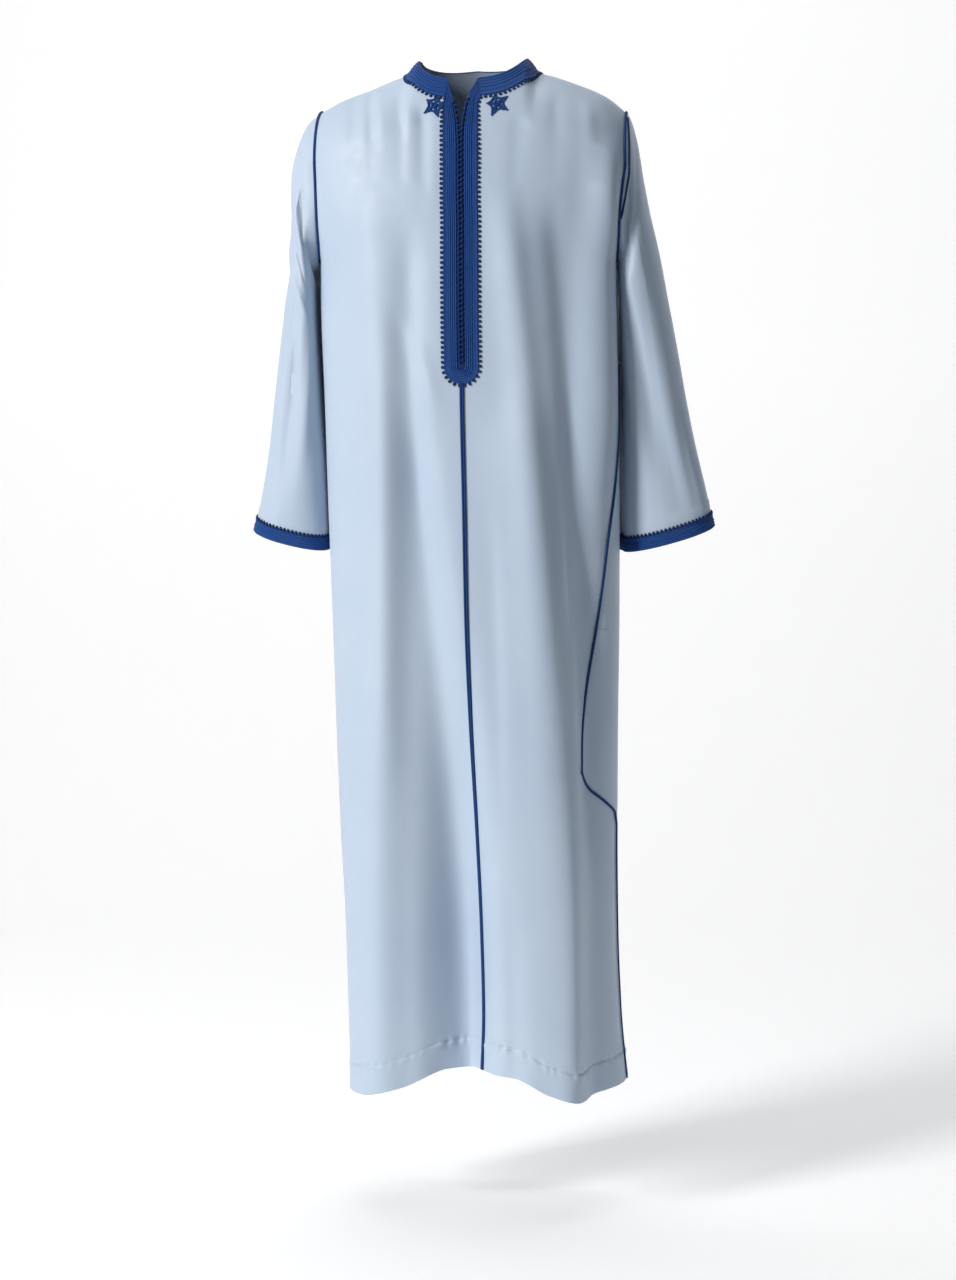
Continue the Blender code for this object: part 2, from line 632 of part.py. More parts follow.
def make_sleeve(grids, name, side):
    """Rings from the armhole to the cuff; each lies in a plane through its outer and inner edge."""
    table = SLEEVE_LEFT if side > 0 else SLEEVE_RIGHT
    edge = armhole_edge(grids, side, "points")
    lowest = int(np.argmin(edge[:, 2]))
    middle = (edge[0, 2] + edge[lowest, 2]) / 2
    around = np.arccos(np.clip((edge[:, 2] - middle) / (edge[0, 2] - middle), -1, 1))
    around = np.where(np.arange(len(edge)) > lowest, 2 * math.pi - around, around)
    hole = (edge[0] + edge[lowest]) / 2
    rings = [edge + np.array((side * ARMHOLE_GAP, 0, 0))]
    middles = [hole]
    for k in range(1, len(table["front"])):
        row = {column: values[k] for column, values in table.items()}
        depth = (row["front"] + row["back"]) / 2
        outer = np.array((row["outer_x"], depth, row["outer_z"]))
        inner = np.array((row["inner_x"], depth, row["inner_z"]))
        centre = (outer + inner) / 2
        ring = centre + (outer - centre) * power(np.cos(around), SLEEVE_SQUARE)[:, None]
        ring[:, 1] = depth + (row["front"] - depth) * power(np.sin(around), SLEEVE_SQUARE)
        ring[:, 0] -= side * tuck(side, around, ring)
        drop = min(1.0, max(0.0, (k + 1 + SAG_RINGS - len(table["front"])) / SAG_RINGS))
        ring[:, 2] -= CUFF_SAG * drop * np.maximum(0, np.sin(around))
        share = min(1.0, k / SLEEVE_HEAD_RINGS)
        share = share * share * (3 - 2 * share)
        head = edge + (centre - hole) * (1, 0, 1)
        rings.append(ring * share + head * (1 - share))
        middles.append(centre)
    points = np.array(rings)
    middles = np.array(middles)
    out = grid_directions(points, middles)
    depths = sleeve_folds(side, np.degrees(around)[None, :], points[..., 2])
    depths *= np.clip(np.arange(len(rings)) / 2, 0, 1)[:, None]
    points = points + out * depths[..., None]
    out = grid_directions(points, middles)
    like_body = np.clip((edge[:, 2] - UNDERARM) / SLEEVE_TURN_HEIGHT, 0, 1)[:, None]
    out[0] = armhole_edge(grids, side, "directions") * like_body + out[0] * (1 - like_body)
    out[0] /= np.linalg.norm(out[0], axis=-1, keepdims=True)
    grid = {"points": points, "directions": out}
    wall("sleeve_" + name, grid, True)
    return grid


def tuck(side, around, ring):
    """How far a sleeve's inner back is drawn in towards the body's side, which it hangs against."""
    away = (np.degrees(around) - TUCK_TURN) / TUCK_WIDTH
    room = side * (ring[:, 0] - side_x(side, ring[:, 1], ring[:, 2])) - SLEEVE_CLEAR
    return np.maximum(0, room) * np.exp(-away ** 2) * np.clip(ring[:, 1] / TUCK_START, 0, 1)


def sleeve_folds(side, around, z):
    """How far the drag folds move a sleeve's points."""
    total = np.zeros_like(around + z)
    for k in range(len(SLEEVE_FOLDS["side"])):
        fold = {name: values[k] for name, values in SLEEVE_FOLDS.items()}
        if fold["side"] != side:
            continue
        along = np.clip((fold["z_top"] - z) / (fold["z_top"] - fold["z_bottom"]), 0, 1)
        middle = fold["turn_top"] + (fold["turn_bottom"] - fold["turn_top"]) * along
        away = (around - middle + 180) % 360 - 180
        ends = np.sin(np.pi * along)
        total = total + fold["height"] * ends * np.exp(-(away / fold["width"]) ** 2)
    return total


def band_ring(places, heights, lift=LIFT):
    """A ring of points round a flat braid: its ridged top across, then its underside back."""
    top = [place + out * (lift + BRAID_BASE + BRAID_RIDGE * height) for (place, out), height in
           zip(places, heights)]
    count = len(places) - 1
    under = [places[count], places[count // 2], places[0]]
    return top + [place + out * lift for place, out in under]


def braid_heights(ridges):
    """Heights across a braid: a crest for each ridge and a valley between two."""
    return [0.2] + [0.3 + 0.7 * (k % 2) for k in range(1, 2 * ridges)] + [0.2]


def collar_place(side, turn, across):
    """A point of the cloth under the collar: turn degrees round the neck, across the band 0 to 1."""
    face = -1 if turn < 90 else 1
    s = abs(math.sin(math.radians(turn))) ** NECK_SQUARE
    c = abs(math.cos(math.radians(turn))) ** NECK_SQUARE
    x = side * s * (NECK_HALF_WIDTH + (COLLAR_HALF_WIDTH - NECK_HALF_WIDTH) * across)
    inner = NECK_FRONT_TURN if face < 0 else NECK_BACK_TURN
    outer = COLLAR_FRONT_TURN if face < 0 else COLLAR_BACK_TURN
    return rib_points(side, face, np.float64(x), np.float64(90 - c * (inner + (outer - inner) * across)))


def collar_start(side, across):
    """Degrees round the neck where the band ends at the slit."""
    height = V_TOP + (COLLAR_FRONT_Z - V_TOP) * across
    x = side * (float(smooth(BODY, "z", "centre", height)) + side * float(v_gap(height))) + SEAM_GAP
    reach = NECK_HALF_WIDTH + (COLLAR_HALF_WIDTH - NECK_HALF_WIDTH) * across
    return math.degrees(math.asin((max(x, SEAM_GAP) / reach) ** (1 / NECK_SQUARE)))


def make_collar():
    """The ridged braid round the neck, from one slit edge round the back to the other."""
    heights = braid_heights(COLLAR_RIDGES)
    count = len(heights) - 1
    stations = [(-1, turn) for turn in COLLAR_TURNS]
    stations += [(1, turn) for turn in reversed(COLLAR_TURNS[:-1])]
    rings = []
    for side, turn in stations:
        places = []
        for j in range(count + 1):
            start = collar_start(side, j / count)
            reached = start + turn * (1 - start / 90) if turn < 90 else turn
            places.append(collar_place(side, reached, j / count))
        rings.append(band_ring(places, heights, COLLAR_LIFT))
    loft("collar_band", rings, NAVY)


def placket_route():
    """Stations of the placket braid: down one side of the slit, round its end and up the other."""
    down = [("arm", -1, z) for z in PLACKET_ROWS]
    turns = [("end", 180 + 180 * k / PLACKET_END_STATIONS, 0) for k in range(1, PLACKET_END_STATIONS)]
    up = [("arm", 1, z) for z in reversed(PLACKET_ROWS)]
    return down + turns + up


def front_place(grids, x, z):
    """A point of the front's facets, on whichever half holds x."""
    side = 1 if x > float(smooth(BODY, "z", "centre", z)) else -1
    return on_panel(grids["front", side], x, z, side)


def make_placket(grids):
    heights = braid_heights(PLACKET_RIDGES)
    rings = []
    for kind, first, z in placket_route():
        places = []
        for j in range(len(heights)):
            across = j / (len(heights) - 1)
            if kind == "arm":
                inner = PLACKET_INNER + float(v_gap(z)) - SLIT_HALF_GAP
                reach = inner + (PLACKET_OUTER - inner) * across
                x = float(smooth(BODY, "z", "centre", z)) + first * reach
                places.append(front_place(grids, x, z))
            else:
                reach = PLACKET_INNER + (PLACKET_OUTER - PLACKET_INNER) * across
                low = PLACKET_ROWS[-1] + reach * math.sin(math.radians(first))
                x = float(smooth(BODY, "z", "centre", low)) + reach * math.cos(math.radians(first))
                places.append(front_place(grids, x, low))
        rings.append(band_ring(places, heights))
    loft("placket_braid", rings, NAVY)


def make_knots(grids, name, side):
    """The row of small round knots along one edge of the slit, strung close together."""
    count = int((KNOTS_TOP - KNOTS_BOTTOM) / KNOT_PITCH)
    rings = []
    for k in range(2 * count + 1):
        z = KNOTS_TOP - k * KNOT_PITCH / 2
        radius = KNOT_RADIUS * (1.0 if k % 2 else KNOT_WAIST)
        x = float(smooth(BODY, "z", "centre", z)) + side * (float(v_gap(z)) - SLIT_HALF_GAP + KNOT_INSET)
        place, out = on_panel(grids["front", side], x, z, side)
        ahead = np.array((0, 0, 1.0))
        across = direction(ahead, out)
        middle = place + out * (LIFT + KNOT_RADIUS)
        ring = []
        for n in range(KNOT_SIDES):
            turn = 2 * math.pi * n / KNOT_SIDES
            ring.append(middle + radius * (math.cos(turn) * across + math.sin(turn) * out))
        rings.append(ring)
    loft("slit_knots_" + name, rings, NAVY)


def make_star(grids, name, side, middle, tips):
    """A five-pointed applied star with a raised middle, some of its tips cut short by the braid."""
    x, z = middle
    corners = []
    for k, (turn, radius) in enumerate(tips):
        following = tips[(k + 1) % len(tips)][0]
        corners.append((turn, radius))
        corners.append((turn + (following - turn) % 360 / 2, STAR_WAIST))
    count = len(corners)
    vertices = []
    for share, height in STAR_RINGS:
        for turn, radius in corners:
            turn = math.radians(turn)
            place, out = on_panel(grids["front", side], x + radius * share * math.cos(turn),
                                  z + radius * share * math.sin(turn), side)
            vertices.append(place + out * (STAR_LIFT + height * STAR_THICKNESS))
    place, out = on_panel(grids["front", side], x, z, side)
    vertices.append(place + out * STAR_LIFT)
    vertices.append(place + out * (STAR_LIFT + STAR_TOP * STAR_THICKNESS))
    under, over = len(vertices) - 2, len(vertices) - 1
    faces = []
    for k in range(count):
        n = (k + 1) % count
        faces.append((under, n, k))
        for ring in range(len(STAR_RINGS) - 1):
            low = ring * count
            faces.append((low + k, low + n, low + count + n, low + count + k))
        faces.append((under - count + k, under - count + n, over))
    build_mesh("star_" + name, vertices, faces, CORD)


def cord(name, path, width, height, lift=LIFT):
    """A two-strand cord lying on the cloth along a path of (point, outward direction) pairs."""
    rings = []
    for k, (place, out) in enumerate(path):
        ahead = path[min(k + 1, len(path) - 1)][0] - path[max(k - 1, 0)][0]
        across = direction(ahead, out)
        rings.append([place + across * (a * width) + out * (lift + b * height) for a, b in CORD_SHAPE])
    loft(name, rings, CORD)


def row_at(grid, col, z):
    points = grid["points"]
    count = points.shape[1] - 1
    j = int(np.clip(math.floor(col), 0, count - 1))
    line = points[:, j, 2] * (1 - col + j) + points[:, j + 1, 2] * (col - j)
    return float(np.interp(z, line, np.arange(len(line))))


def make_centre_cord(grids):
    """The cord over the centre-front seam, from the placket's end to the hem."""
    grid = grids["front", 1]
    heights = [CENTRE_CORD_TOP] + [z for z in reversed(LEVEL_ROWS) if z < CENTRE_CORD_TOP - 0.01]
    path = [between(grid, row_at(grid, 0.0, z), 0.0) for z in heights]
    path += [between(grid, row, 0.0) for row in (3.0, 2.0, 1.0, CORD_END_ROW)]
    shift = np.array((SEAM_GAP / 2, 0, 0))
    cord("centre_cord", [(place - shift, out) for place, out in path], CENTRE_CORD_WIDTH,
         CENTRE_CORD_HEIGHT, CENTRE_CORD_LIFT)


def edge_place(grid, row, inset):
    """A point of a panel's facets, inset metres in from its outer edge."""
    last = grid["points"].shape[1] - 1
    near, _ = between(grid, row, last)
    far, _ = between(grid, row, last - 1)
    return between(grid, row, last - inset / np.linalg.norm(near - far))


def make_armhole_cord(grids, name, side):
    """The cord beside the armhole seam, up the front, over the shoulder and down the back."""
    first = len(HEM_ROWS) + LEVEL_ROWS.index(ARMHOLE_CORD_END)
    count = grids["front", side]["points"].shape[0]
    front = [edge_place(grids["front", side], row, CORD_INSET) for row in range(first, count)]
    back = [edge_place(grids["back", side], row, CORD_INSET) for row in range(first, count - 1)]
    cord("armhole_cord_" + name, front + back[::-1], SEAM_CORD_WIDTH, SEAM_CORD_HEIGHT)


def make_side_cords(grids, name, side):
    """Cords down the front edge of the side gore, and from its lower corner down the side seam."""
    grid = grids["front", side]
    last = grid["points"].shape[1] - 1
    upper = [SIDE_CORD_TOP] + [z for z in reversed(LEVEL_ROWS) if GORE_CORNER < z < SIDE_CORD_TOP]
    upper.append(GORE_CORNER + CORNER_SPACE)
    path = [edge_place(grid, row_at(grid, last, z), CORD_INSET) for z in upper]
    cord("side_opening_cord_" + name, path, SEAM_CORD_WIDTH, SEAM_CORD_HEIGHT)
    start = GORE_CORNER - CORNER_SPACE
    lower = [start] + [z for z in reversed(LEVEL_ROWS) if z < start]
    rows = [row_at(grid, last, z) for z in lower] + [3.0, 2.0, 1.0, CORD_END_ROW]
    path = [edge_place(grid, row, CORD_INSET) for row in rows]
    lift = CORNER_LIFT if side > 0 else LIFT
    cord("side_seam_cord_" + name, path, SEAM_CORD_WIDTH, SEAM_CORD_HEIGHT, lift)


def make_cuff_band(grid, name):
    """The ridged braid round the end of a sleeve."""
    heights = braid_heights(CUFF_RIDGES)
    points = grid["points"]
    directions = grid["directions"]
    rings = []
    for j in range(points.shape[1]):
        run = np.linalg.norm(points[-1, j] - points[-2, j])
        places = []
        for k in range(len(heights)):
            back = CUFF_BAND * k / (len(heights) - 1) / run
            place = points[-1, j] * (1 - back) + points[-2, j] * back
            out = directions[-1, j] * (1 - back) + directions[-2, j] * back
            places.append((place, out / np.linalg.norm(out)))
        rings.append(band_ring(places, heights))
    loft("cuff_band_" + name, rings, NAVY, closed=True)


def main():
    clear_scene()
    grids = make_panels()
    for name, side in SIDES:
        make_gore(name, side)
        sleeve = make_sleeve(grids, name, side)
        make_cuff_band(sleeve, name)
        make_armhole_cord(grids, name, side)
        make_side_cords(grids, name, side)
        make_knots(grids, name, side)
    make_star(grids, "right", -1, STAR_RIGHT, STAR_TIPS_RIGHT)
    make_star(grids, "left", 1, STAR_LEFT, STAR_TIPS_LEFT)
    make_collar()
    make_placket(grids)
    make_centre_cord(grids)


main()
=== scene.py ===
"""Looks for the djellaba: fine cloth shells with their creases, braid, knots, picots, stars and cords.

The shells repeat the surface that the CAD part is made from, at a finer step. Metres, +Z up; the
front faces -Y, the wearer's left is +X, and the origin is at the middle of the shoulders.
"""

import math

import bpy
import numpy as np
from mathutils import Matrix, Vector


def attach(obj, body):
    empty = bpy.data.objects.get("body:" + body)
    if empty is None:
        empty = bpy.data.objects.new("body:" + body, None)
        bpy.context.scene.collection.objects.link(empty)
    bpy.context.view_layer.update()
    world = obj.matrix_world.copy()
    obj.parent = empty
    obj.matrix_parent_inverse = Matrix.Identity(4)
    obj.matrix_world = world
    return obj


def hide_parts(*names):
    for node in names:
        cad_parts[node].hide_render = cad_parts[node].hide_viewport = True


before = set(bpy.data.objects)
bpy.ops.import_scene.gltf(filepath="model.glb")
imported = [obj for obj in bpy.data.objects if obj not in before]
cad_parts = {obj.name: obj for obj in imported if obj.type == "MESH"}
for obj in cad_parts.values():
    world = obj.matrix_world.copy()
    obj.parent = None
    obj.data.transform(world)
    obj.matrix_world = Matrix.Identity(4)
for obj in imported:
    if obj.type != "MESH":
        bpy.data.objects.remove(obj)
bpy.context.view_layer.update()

# Driving sizes: the CAD part's own, but for a thinner cloth, the gores' ends, the stars and the knots
CLOTH = 0.0012
SEAM_GAP = 0.0003           # distance kept between two pieces
RIDGE_Y = 0.012             # the shoulder line lies this far behind the origin
NECK_HALF_WIDTH = 0.074
NECK_FRONT_TURN = 55.7      # degrees over the shoulder between its ridge and the front neck edge
NECK_BACK_TURN = 33.0
NECK_SQUARE = 0.7           # exponent of the neck's squarish oval
COLLAR_HALF_WIDTH = 0.0925
COLLAR_FRONT_TURN = 71.5
COLLAR_BACK_TURN = 55.0
SLIT_BOTTOM = -0.410
SLIT_HALF_GAP = 0.0006
UNDERARM = -0.270
PLACKET_INNER = 0.0049
PLACKET_OUTER = 0.0235
PLACKET_TOP = -0.078        # the slit's braid runs straight down from here; its outer line starts lower
PLACKET_SLANT = 0.004
PLACKET_END = -0.412
EDGE_BACKSET = 0.05         # degrees that a side edge stays back from its seam line
ARMHOLE_GAP = 0.0005
ARMHOLE_TOP = -0.133
NECK_LEVEL = -0.08
SLEEVE_SQUARE = 0.9
SLEEVE_HEAD_RINGS = 3
SLEEVE_CLEAR = 0.0045       # the sleeve's inner back lies this far from the body's side
TUCK_TURN = 212.0           # degrees round the sleeve of the place that lies closest, and its width
TUCK_WIDTH = 30.0
TUCK_START = 0.02           # it starts this far behind the sleeve's middle
CUFF_SAG = 0.008            # the front of the cuff hangs lower than the line between its two sides
SAG_RINGS = 5
GORE_TOP = -0.272
GORE_CORNER = -0.966
GORE_POINT = -1.0405
GORE_BACKSET = 0.12         # degrees between the gore's edge and its seam line
CUFF_BAND = 0.018
KNOTS_TOP = -0.054
KNOTS_BOTTOM = -0.4125
HAIR = 1e-6                 # a difference too small to matter
FOLD_FACING = 1.6           # how soon folds fade as the cloth turns to the side

# Stars: the waist between two tips, each star's middle, and its tips as degrees and radius
STAR_WAIST = 0.0085
STAR_ROUNDS = 3.5           # rounds of satin stitch between its middle and its edge
STAR_RIGHT = (-0.0440, -0.0580)
STAR_LEFT = (0.0406, -0.0566)
STAR_TIPS_RIGHT = ((71, 0.0115), (143, 0.0125), (215, 0.0162), (287, 0.0152), (359, 0.0105))
STAR_TIPS_LEFT = ((35, 0.0158), (107, 0.0115), (179, 0.0125), (247, 0.0165), (328, 0.0160))

# Sizes of the fine work on the cloth
SHARP_ANGLE = 60
CORNER_RADIUS = 0.0085      # the neck edge is rounded where it meets the slit
RIB_DEGREE = 0.0016         # length of one degree of a rib beside the neck
LEVEL_STEP = 0.0080
RIB_STEP = 0.04
LAST_PLACE = 0.204          # a panel's last place across, beside the armhole
TURN_UP = 0.040             # depth of the hem's turn-up
TURN_UP_STEP = 0.0005
QUARTER_ROUND = 0.29        # length of the hem from the centre to the side
HEM_STEP = 0.0024
HEM_ROWS = (0.0, 0.004, 0.028, 0.034, 0.0372, 0.0386, 0.0400, 0.0414, 0.0428, 0.046, 0.060)
HEM_DROOP = 0.0012
HEM_LINE_DEPTH = 0.0010     # the groove that the stitches pull along the turn-up
HEM_LINE_WIDTH = 0.0018
PUCKER_PITCH = 0.0145
PUCKER_HEIGHT = 0.0016
PUCKER_REACH = 0.0062
SEAM_ROLL = 0.0009          # a panel's edge turns in by this much at a seam
SEAM_ROLL_WIDTH = 0.0035
FACING_TOP = 0.016          # the cuff's facing ends this far above the braid
FACING_LINE = 0.0008        # the faint ridge at its top, and the step below it
FACING_STEP = 0.0005
SLEEVE_TURN_HEIGHT = 0.045  # the sleeve's edge turns under along this much of the armhole's foot
SECTION_STEPS = (0.5, 0.004)  # degrees and metres between the points that give a direction
RIB_STEPS = (0.002, 1.5)
FRONT_STEPS = (0.001, 0.001)
TACK_LEVEL = -0.771

# Trims. A cord's size is its width and height; a knot's is half its length, width and height
UNDERSIDE_POINTS = 8
UNDERSIDE_LIFT = 0.0001
BRAID_STEP = 0.0011
RIDGED_SHARE = 0.60         # inner part of a braid's width that is ridged; the rest is plaited
PLY_PITCH = 0.0031
PLAIT_PITCH = 0.0042
BEAD_SWELL = 0.10
PICOT_PITCH = 0.0067
NECK_PICOT = (0.0026, 0.0021)
CUFF_PICOT_PITCH = 0.0057
CUFF_PICOT = (0.0030, 0.0023)
PICOT_HEIGHT = 0.0013
PICOT_LIFT = 0.0011
PICOT_REACH = 0.72          # share of a picot's half length between its middle and the braid's edge
KNOT_PITCH = 0.0069
KNOT_SIZES = (0.0027, 0.0021, 0.0021)
KNOT_INSET = 0.0024         # a knot's middle lies this far from the slit's edge, and above the cloth
KNOT_LIFT = 0.0024
STAR_TIP_SIZES = (0.0019, 0.0014, 0.0012)
STITCH_SIZES = (0.0023, 0.00060, 0.00050)
CORD_LIFT = 0.0003
CORD_STEP = 0.004
CORD_SHORT = 0.001          # a cord stops this far above the hem's edge
CORD_INSET = 0.0024         # a side cord's middle lies this far in from the panel's edge
CENTRE_CORD = (0.0062, 0.0026)
SIDE_CORD = (0.0036, 0.0018)
SECOND_CORD = (0.0030, 0.0015)
SECOND_CORD_TOP = -0.064    # the second cord on the left sleeve head: its top, its drop, its reach out
SECOND_CORD_LENGTH = 0.150
SECOND_CORD_AWAY = 0.0125
CORD_STATION = 0.0010
CORD_PLAIT = 0.0030
CENTRE_CORD_TOP = -0.4335
SIDE_CORD_TOP = -0.405
ARMHOLE_CORD_FOOT = -0.262
ARMHOLE_CORD_INSET = 0.0022

# Each kind of thread: its dark and light tones, and its threads for each metre; the mix between the tones
# also paints shade between threads and in grooves
THREADS = (("braid", (0.0040, 0.0290, 0.135), (0.0180, 0.0980, 0.380), 900.0),
           ("cord", (0.0050, 0.0310, 0.135), (0.0200, 0.0900, 0.330), 1100.0),
           # The knots' tones are darker than the braid's: partly their own thread, partly painted shade of
           # the slit's groove where they sit
           ("knot", (0.0012, 0.0095, 0.055), (0.0060, 0.0370, 0.170), 1100.0),
           # The stitches are paler than the cloth: partly their own thread, partly a painted highlight for
           # the light on the hem's puckers
           ("stitch", (0.58, 0.66, 0.76), (0.74, 0.80, 0.87), 1500.0))

FLOOR = -1.585
SIDES = (("right", -1), ("left", 1))


def columns(names, *rows):
    """Turn a table with a row for each section into one array for each named column."""
    return dict(zip(names.split(), np.array(rows, float).T))


# The robe's level sections, its shoulder, and its edges. SIDE_EDGE and HEM are the CAD part's, moved a
# little to match the photograph.
BODY = columns(
    "z centre x_right x_left front back square",
    (-1.445, 0.018, -0.173, 0.2225, 0.137, 0.128, 2.3),
    (-1.4, 0.02, -0.1735, 0.217, 0.136, 0.127, 2.3),
    (-1.3, 0.024, -0.1765, 0.208, 0.133, 0.126, 2.3),
    (-1.18, 0.021, -0.181, 0.2035, 0.129, 0.124, 2.3),
    (-1.05, 0.015, -0.1885, 0.2025, 0.126, 0.122, 2.3),
    (-0.9, 0.007, -0.1945, 0.203, 0.123, 0.12, 2.3),
    (-0.75, 0.001, -0.1995, 0.2045, 0.12, 0.117, 2.3),
    (-0.6, -0.002, -0.205, 0.2045, 0.119, 0.109, 2.3),
    (-0.45, -0.005, -0.2095, 0.2025, 0.121, 0.1, 2.35),
    (-0.33, -0.006, -0.214, 0.199, 0.126, 0.102, 2.4),
    (-0.27, -0.006, -0.215, 0.198, 0.128, 0.104, 2.4),
    (-0.245, -0.006, -0.2185, 0.203, 0.128, 0.104, 2.4),
    (-0.22, -0.006, -0.227, 0.213, 0.127, 0.103, 2.4),
    (-0.19, -0.007, -0.236, 0.226, 0.124, 0.101, 2.4),
    (-0.133, -0.008, -0.243, 0.24, 0.115, 0.095, 2.4),
    (-0.08, -0.009, -0.246, 0.244, 0.104, 0.088, 2.4),
    (-0.05, -0.009, -0.246, 0.244, 0.098, 0.084, 2.4))
SHOULDER = columns(
    "x top_right top_left span",
    (0, 0.03, 0.03, 0.11),
    (0.05, 0.025, 0.025, 0.108),
    (0.074, 0.018, 0.019, 0.104),
    (0.092, 0, 0.0005, 0.098),
    (0.112, -0.0075, -0.005, 0.094),
    (0.141, -0.0195, -0.015, 0.09),
    (0.181, -0.0335, -0.0318, 0.084),
    (0.214, -0.05, -0.0565, 0.08))
ARMHOLE = columns(
    "z x_right x_left",
    (-0.27, -0.215, 0.198),
    (-0.262, -0.2135, 0.196),
    (-0.245, -0.213, 0.195),
    (-0.22, -0.213, 0.196),
    (-0.19, -0.2135, 0.201),
    (-0.16, -0.2145, 0.208),
    (-0.133, -0.216, 0.2135),
    (-0.05, -0.216, 0.2135))
SLIT = columns(
    "z half",
    (-0.11, 0.0006),
    (-0.092, 0.0011),
    (-0.0775, 0.0025),
    (-0.057, 0.0065),
    (-0.039, 0.0128),
    (-0.0225, 0.0185),
    (-0.012, 0.021))
SIDE_EDGE = columns(
    "z front_right back_right front_left back_left",
    (-0.27, 90, 90, 90, 90),
    (-0.3, 90.8, 92.2, 88.5, 91.5),
    (-0.35, 92, 95, 86, 93),
    (-0.4, 93, 98.5, 83.5, 95),
    (-0.49, 94, 106, 80.5, 100),
    (-0.56, 94, 113, 75.2, 106),
    (-0.65, 94, 121.5, 68.5, 112),
    (-0.76, 94, 129, 62.5, 118),
    (-0.88, 94, 137, 56, 124),
    (-0.966, 94, 143, 49, 128),
    (-0.997, 100.5, 130, 64.5, 114),
    (-1.012, 105, 121, 73.5, 103),
    (-1.026, 108.8, 112.8, 83, 92),
    (-1.045, 110, 110, 87, 87),
    (-1.45, 110, 110, 87, 87))
HEM = columns(
    "turn right left",
    (0, -1.378, -1.378),
    (12, -1.38, -1.381),
    (26, -1.402, -1.404),
    (40, -1.415, -1.416),
    (58, -1.419, -1.409),
    (90, -1.422, -1.405),
    (135, -1.425, -1.416),
    (180, -1.416, -1.416))
SLEEVE_RIGHT = columns(
    "outer_x outer_z inner_x inner_z front back",
    (-0.216, -0.052, -0.215, -0.27, -0.062, 0.056),
    (-0.2385, -0.07, -0.2178, -0.276, -0.064, 0.06),
    (-0.2485, -0.099, -0.2184, -0.286, -0.065, 0.064),
    (-0.254, -0.14, -0.2184, -0.3, -0.065, 0.067),
    (-0.2548, -0.19, -0.2182, -0.322, -0.063, 0.069),
    (-0.2558, -0.25, -0.2175, -0.355, -0.058, 0.07),
    (-0.266, -0.315, -0.216, -0.398, -0.051, 0.07),
    (-0.2755, -0.385, -0.2142, -0.448, -0.044, 0.069),
    (-0.2845, -0.455, -0.2128, -0.503, -0.037, 0.067),
    (-0.2925, -0.52, -0.211, -0.56, -0.03, 0.065),
    (-0.304, -0.585, -0.2095, -0.615, -0.022, 0.062),
    (-0.315, -0.634, -0.2085, -0.66, -0.014, 0.058))
SLEEVE_LEFT = columns(
    "outer_x outer_z inner_x inner_z front back",
    (0.2135, -0.054, 0.198, -0.27, -0.062, 0.056),
    (0.223, -0.077, 0.2012, -0.276, -0.064, 0.06),
    (0.229, -0.1, 0.202, -0.286, -0.065, 0.064),
    (0.235, -0.14, 0.2024, -0.3, -0.065, 0.067),
    (0.2445, -0.19, 0.203, -0.322, -0.063, 0.069),
    (0.2585, -0.25, 0.2038, -0.355, -0.058, 0.07),
    (0.271, -0.315, 0.205, -0.398, -0.051, 0.07),
    (0.2845, -0.385, 0.206, -0.448, -0.044, 0.069),
    (0.297, -0.455, 0.2072, -0.503, -0.037, 0.067),
    (0.3105, -0.52, 0.2082, -0.56, -0.03, 0.065),
    (0.325, -0.58, 0.2088, -0.615, -0.022, 0.062),
    (0.335, -0.628, 0.21, -0.662, -0.014, 0.058))

# Heights of the rows that every panel has; they lie close at the foot of the armhole
LEVELS = (-1.200, -1.120, -1.045, -1.038, -1.026, -1.012, -0.997, -0.966, -0.880, -0.760, -0.650,
          -0.560, -0.490, -0.410, -0.400, -0.350, -0.300, -0.270, -0.2698, -0.2692, -0.2684, -0.2674,
          -0.2662, -0.2650, -0.2636, -0.262, -0.2600, -0.2580, -0.2558, -0.2535, -0.2510, -0.2480,
          -0.245, -0.220, -0.190, -0.160)

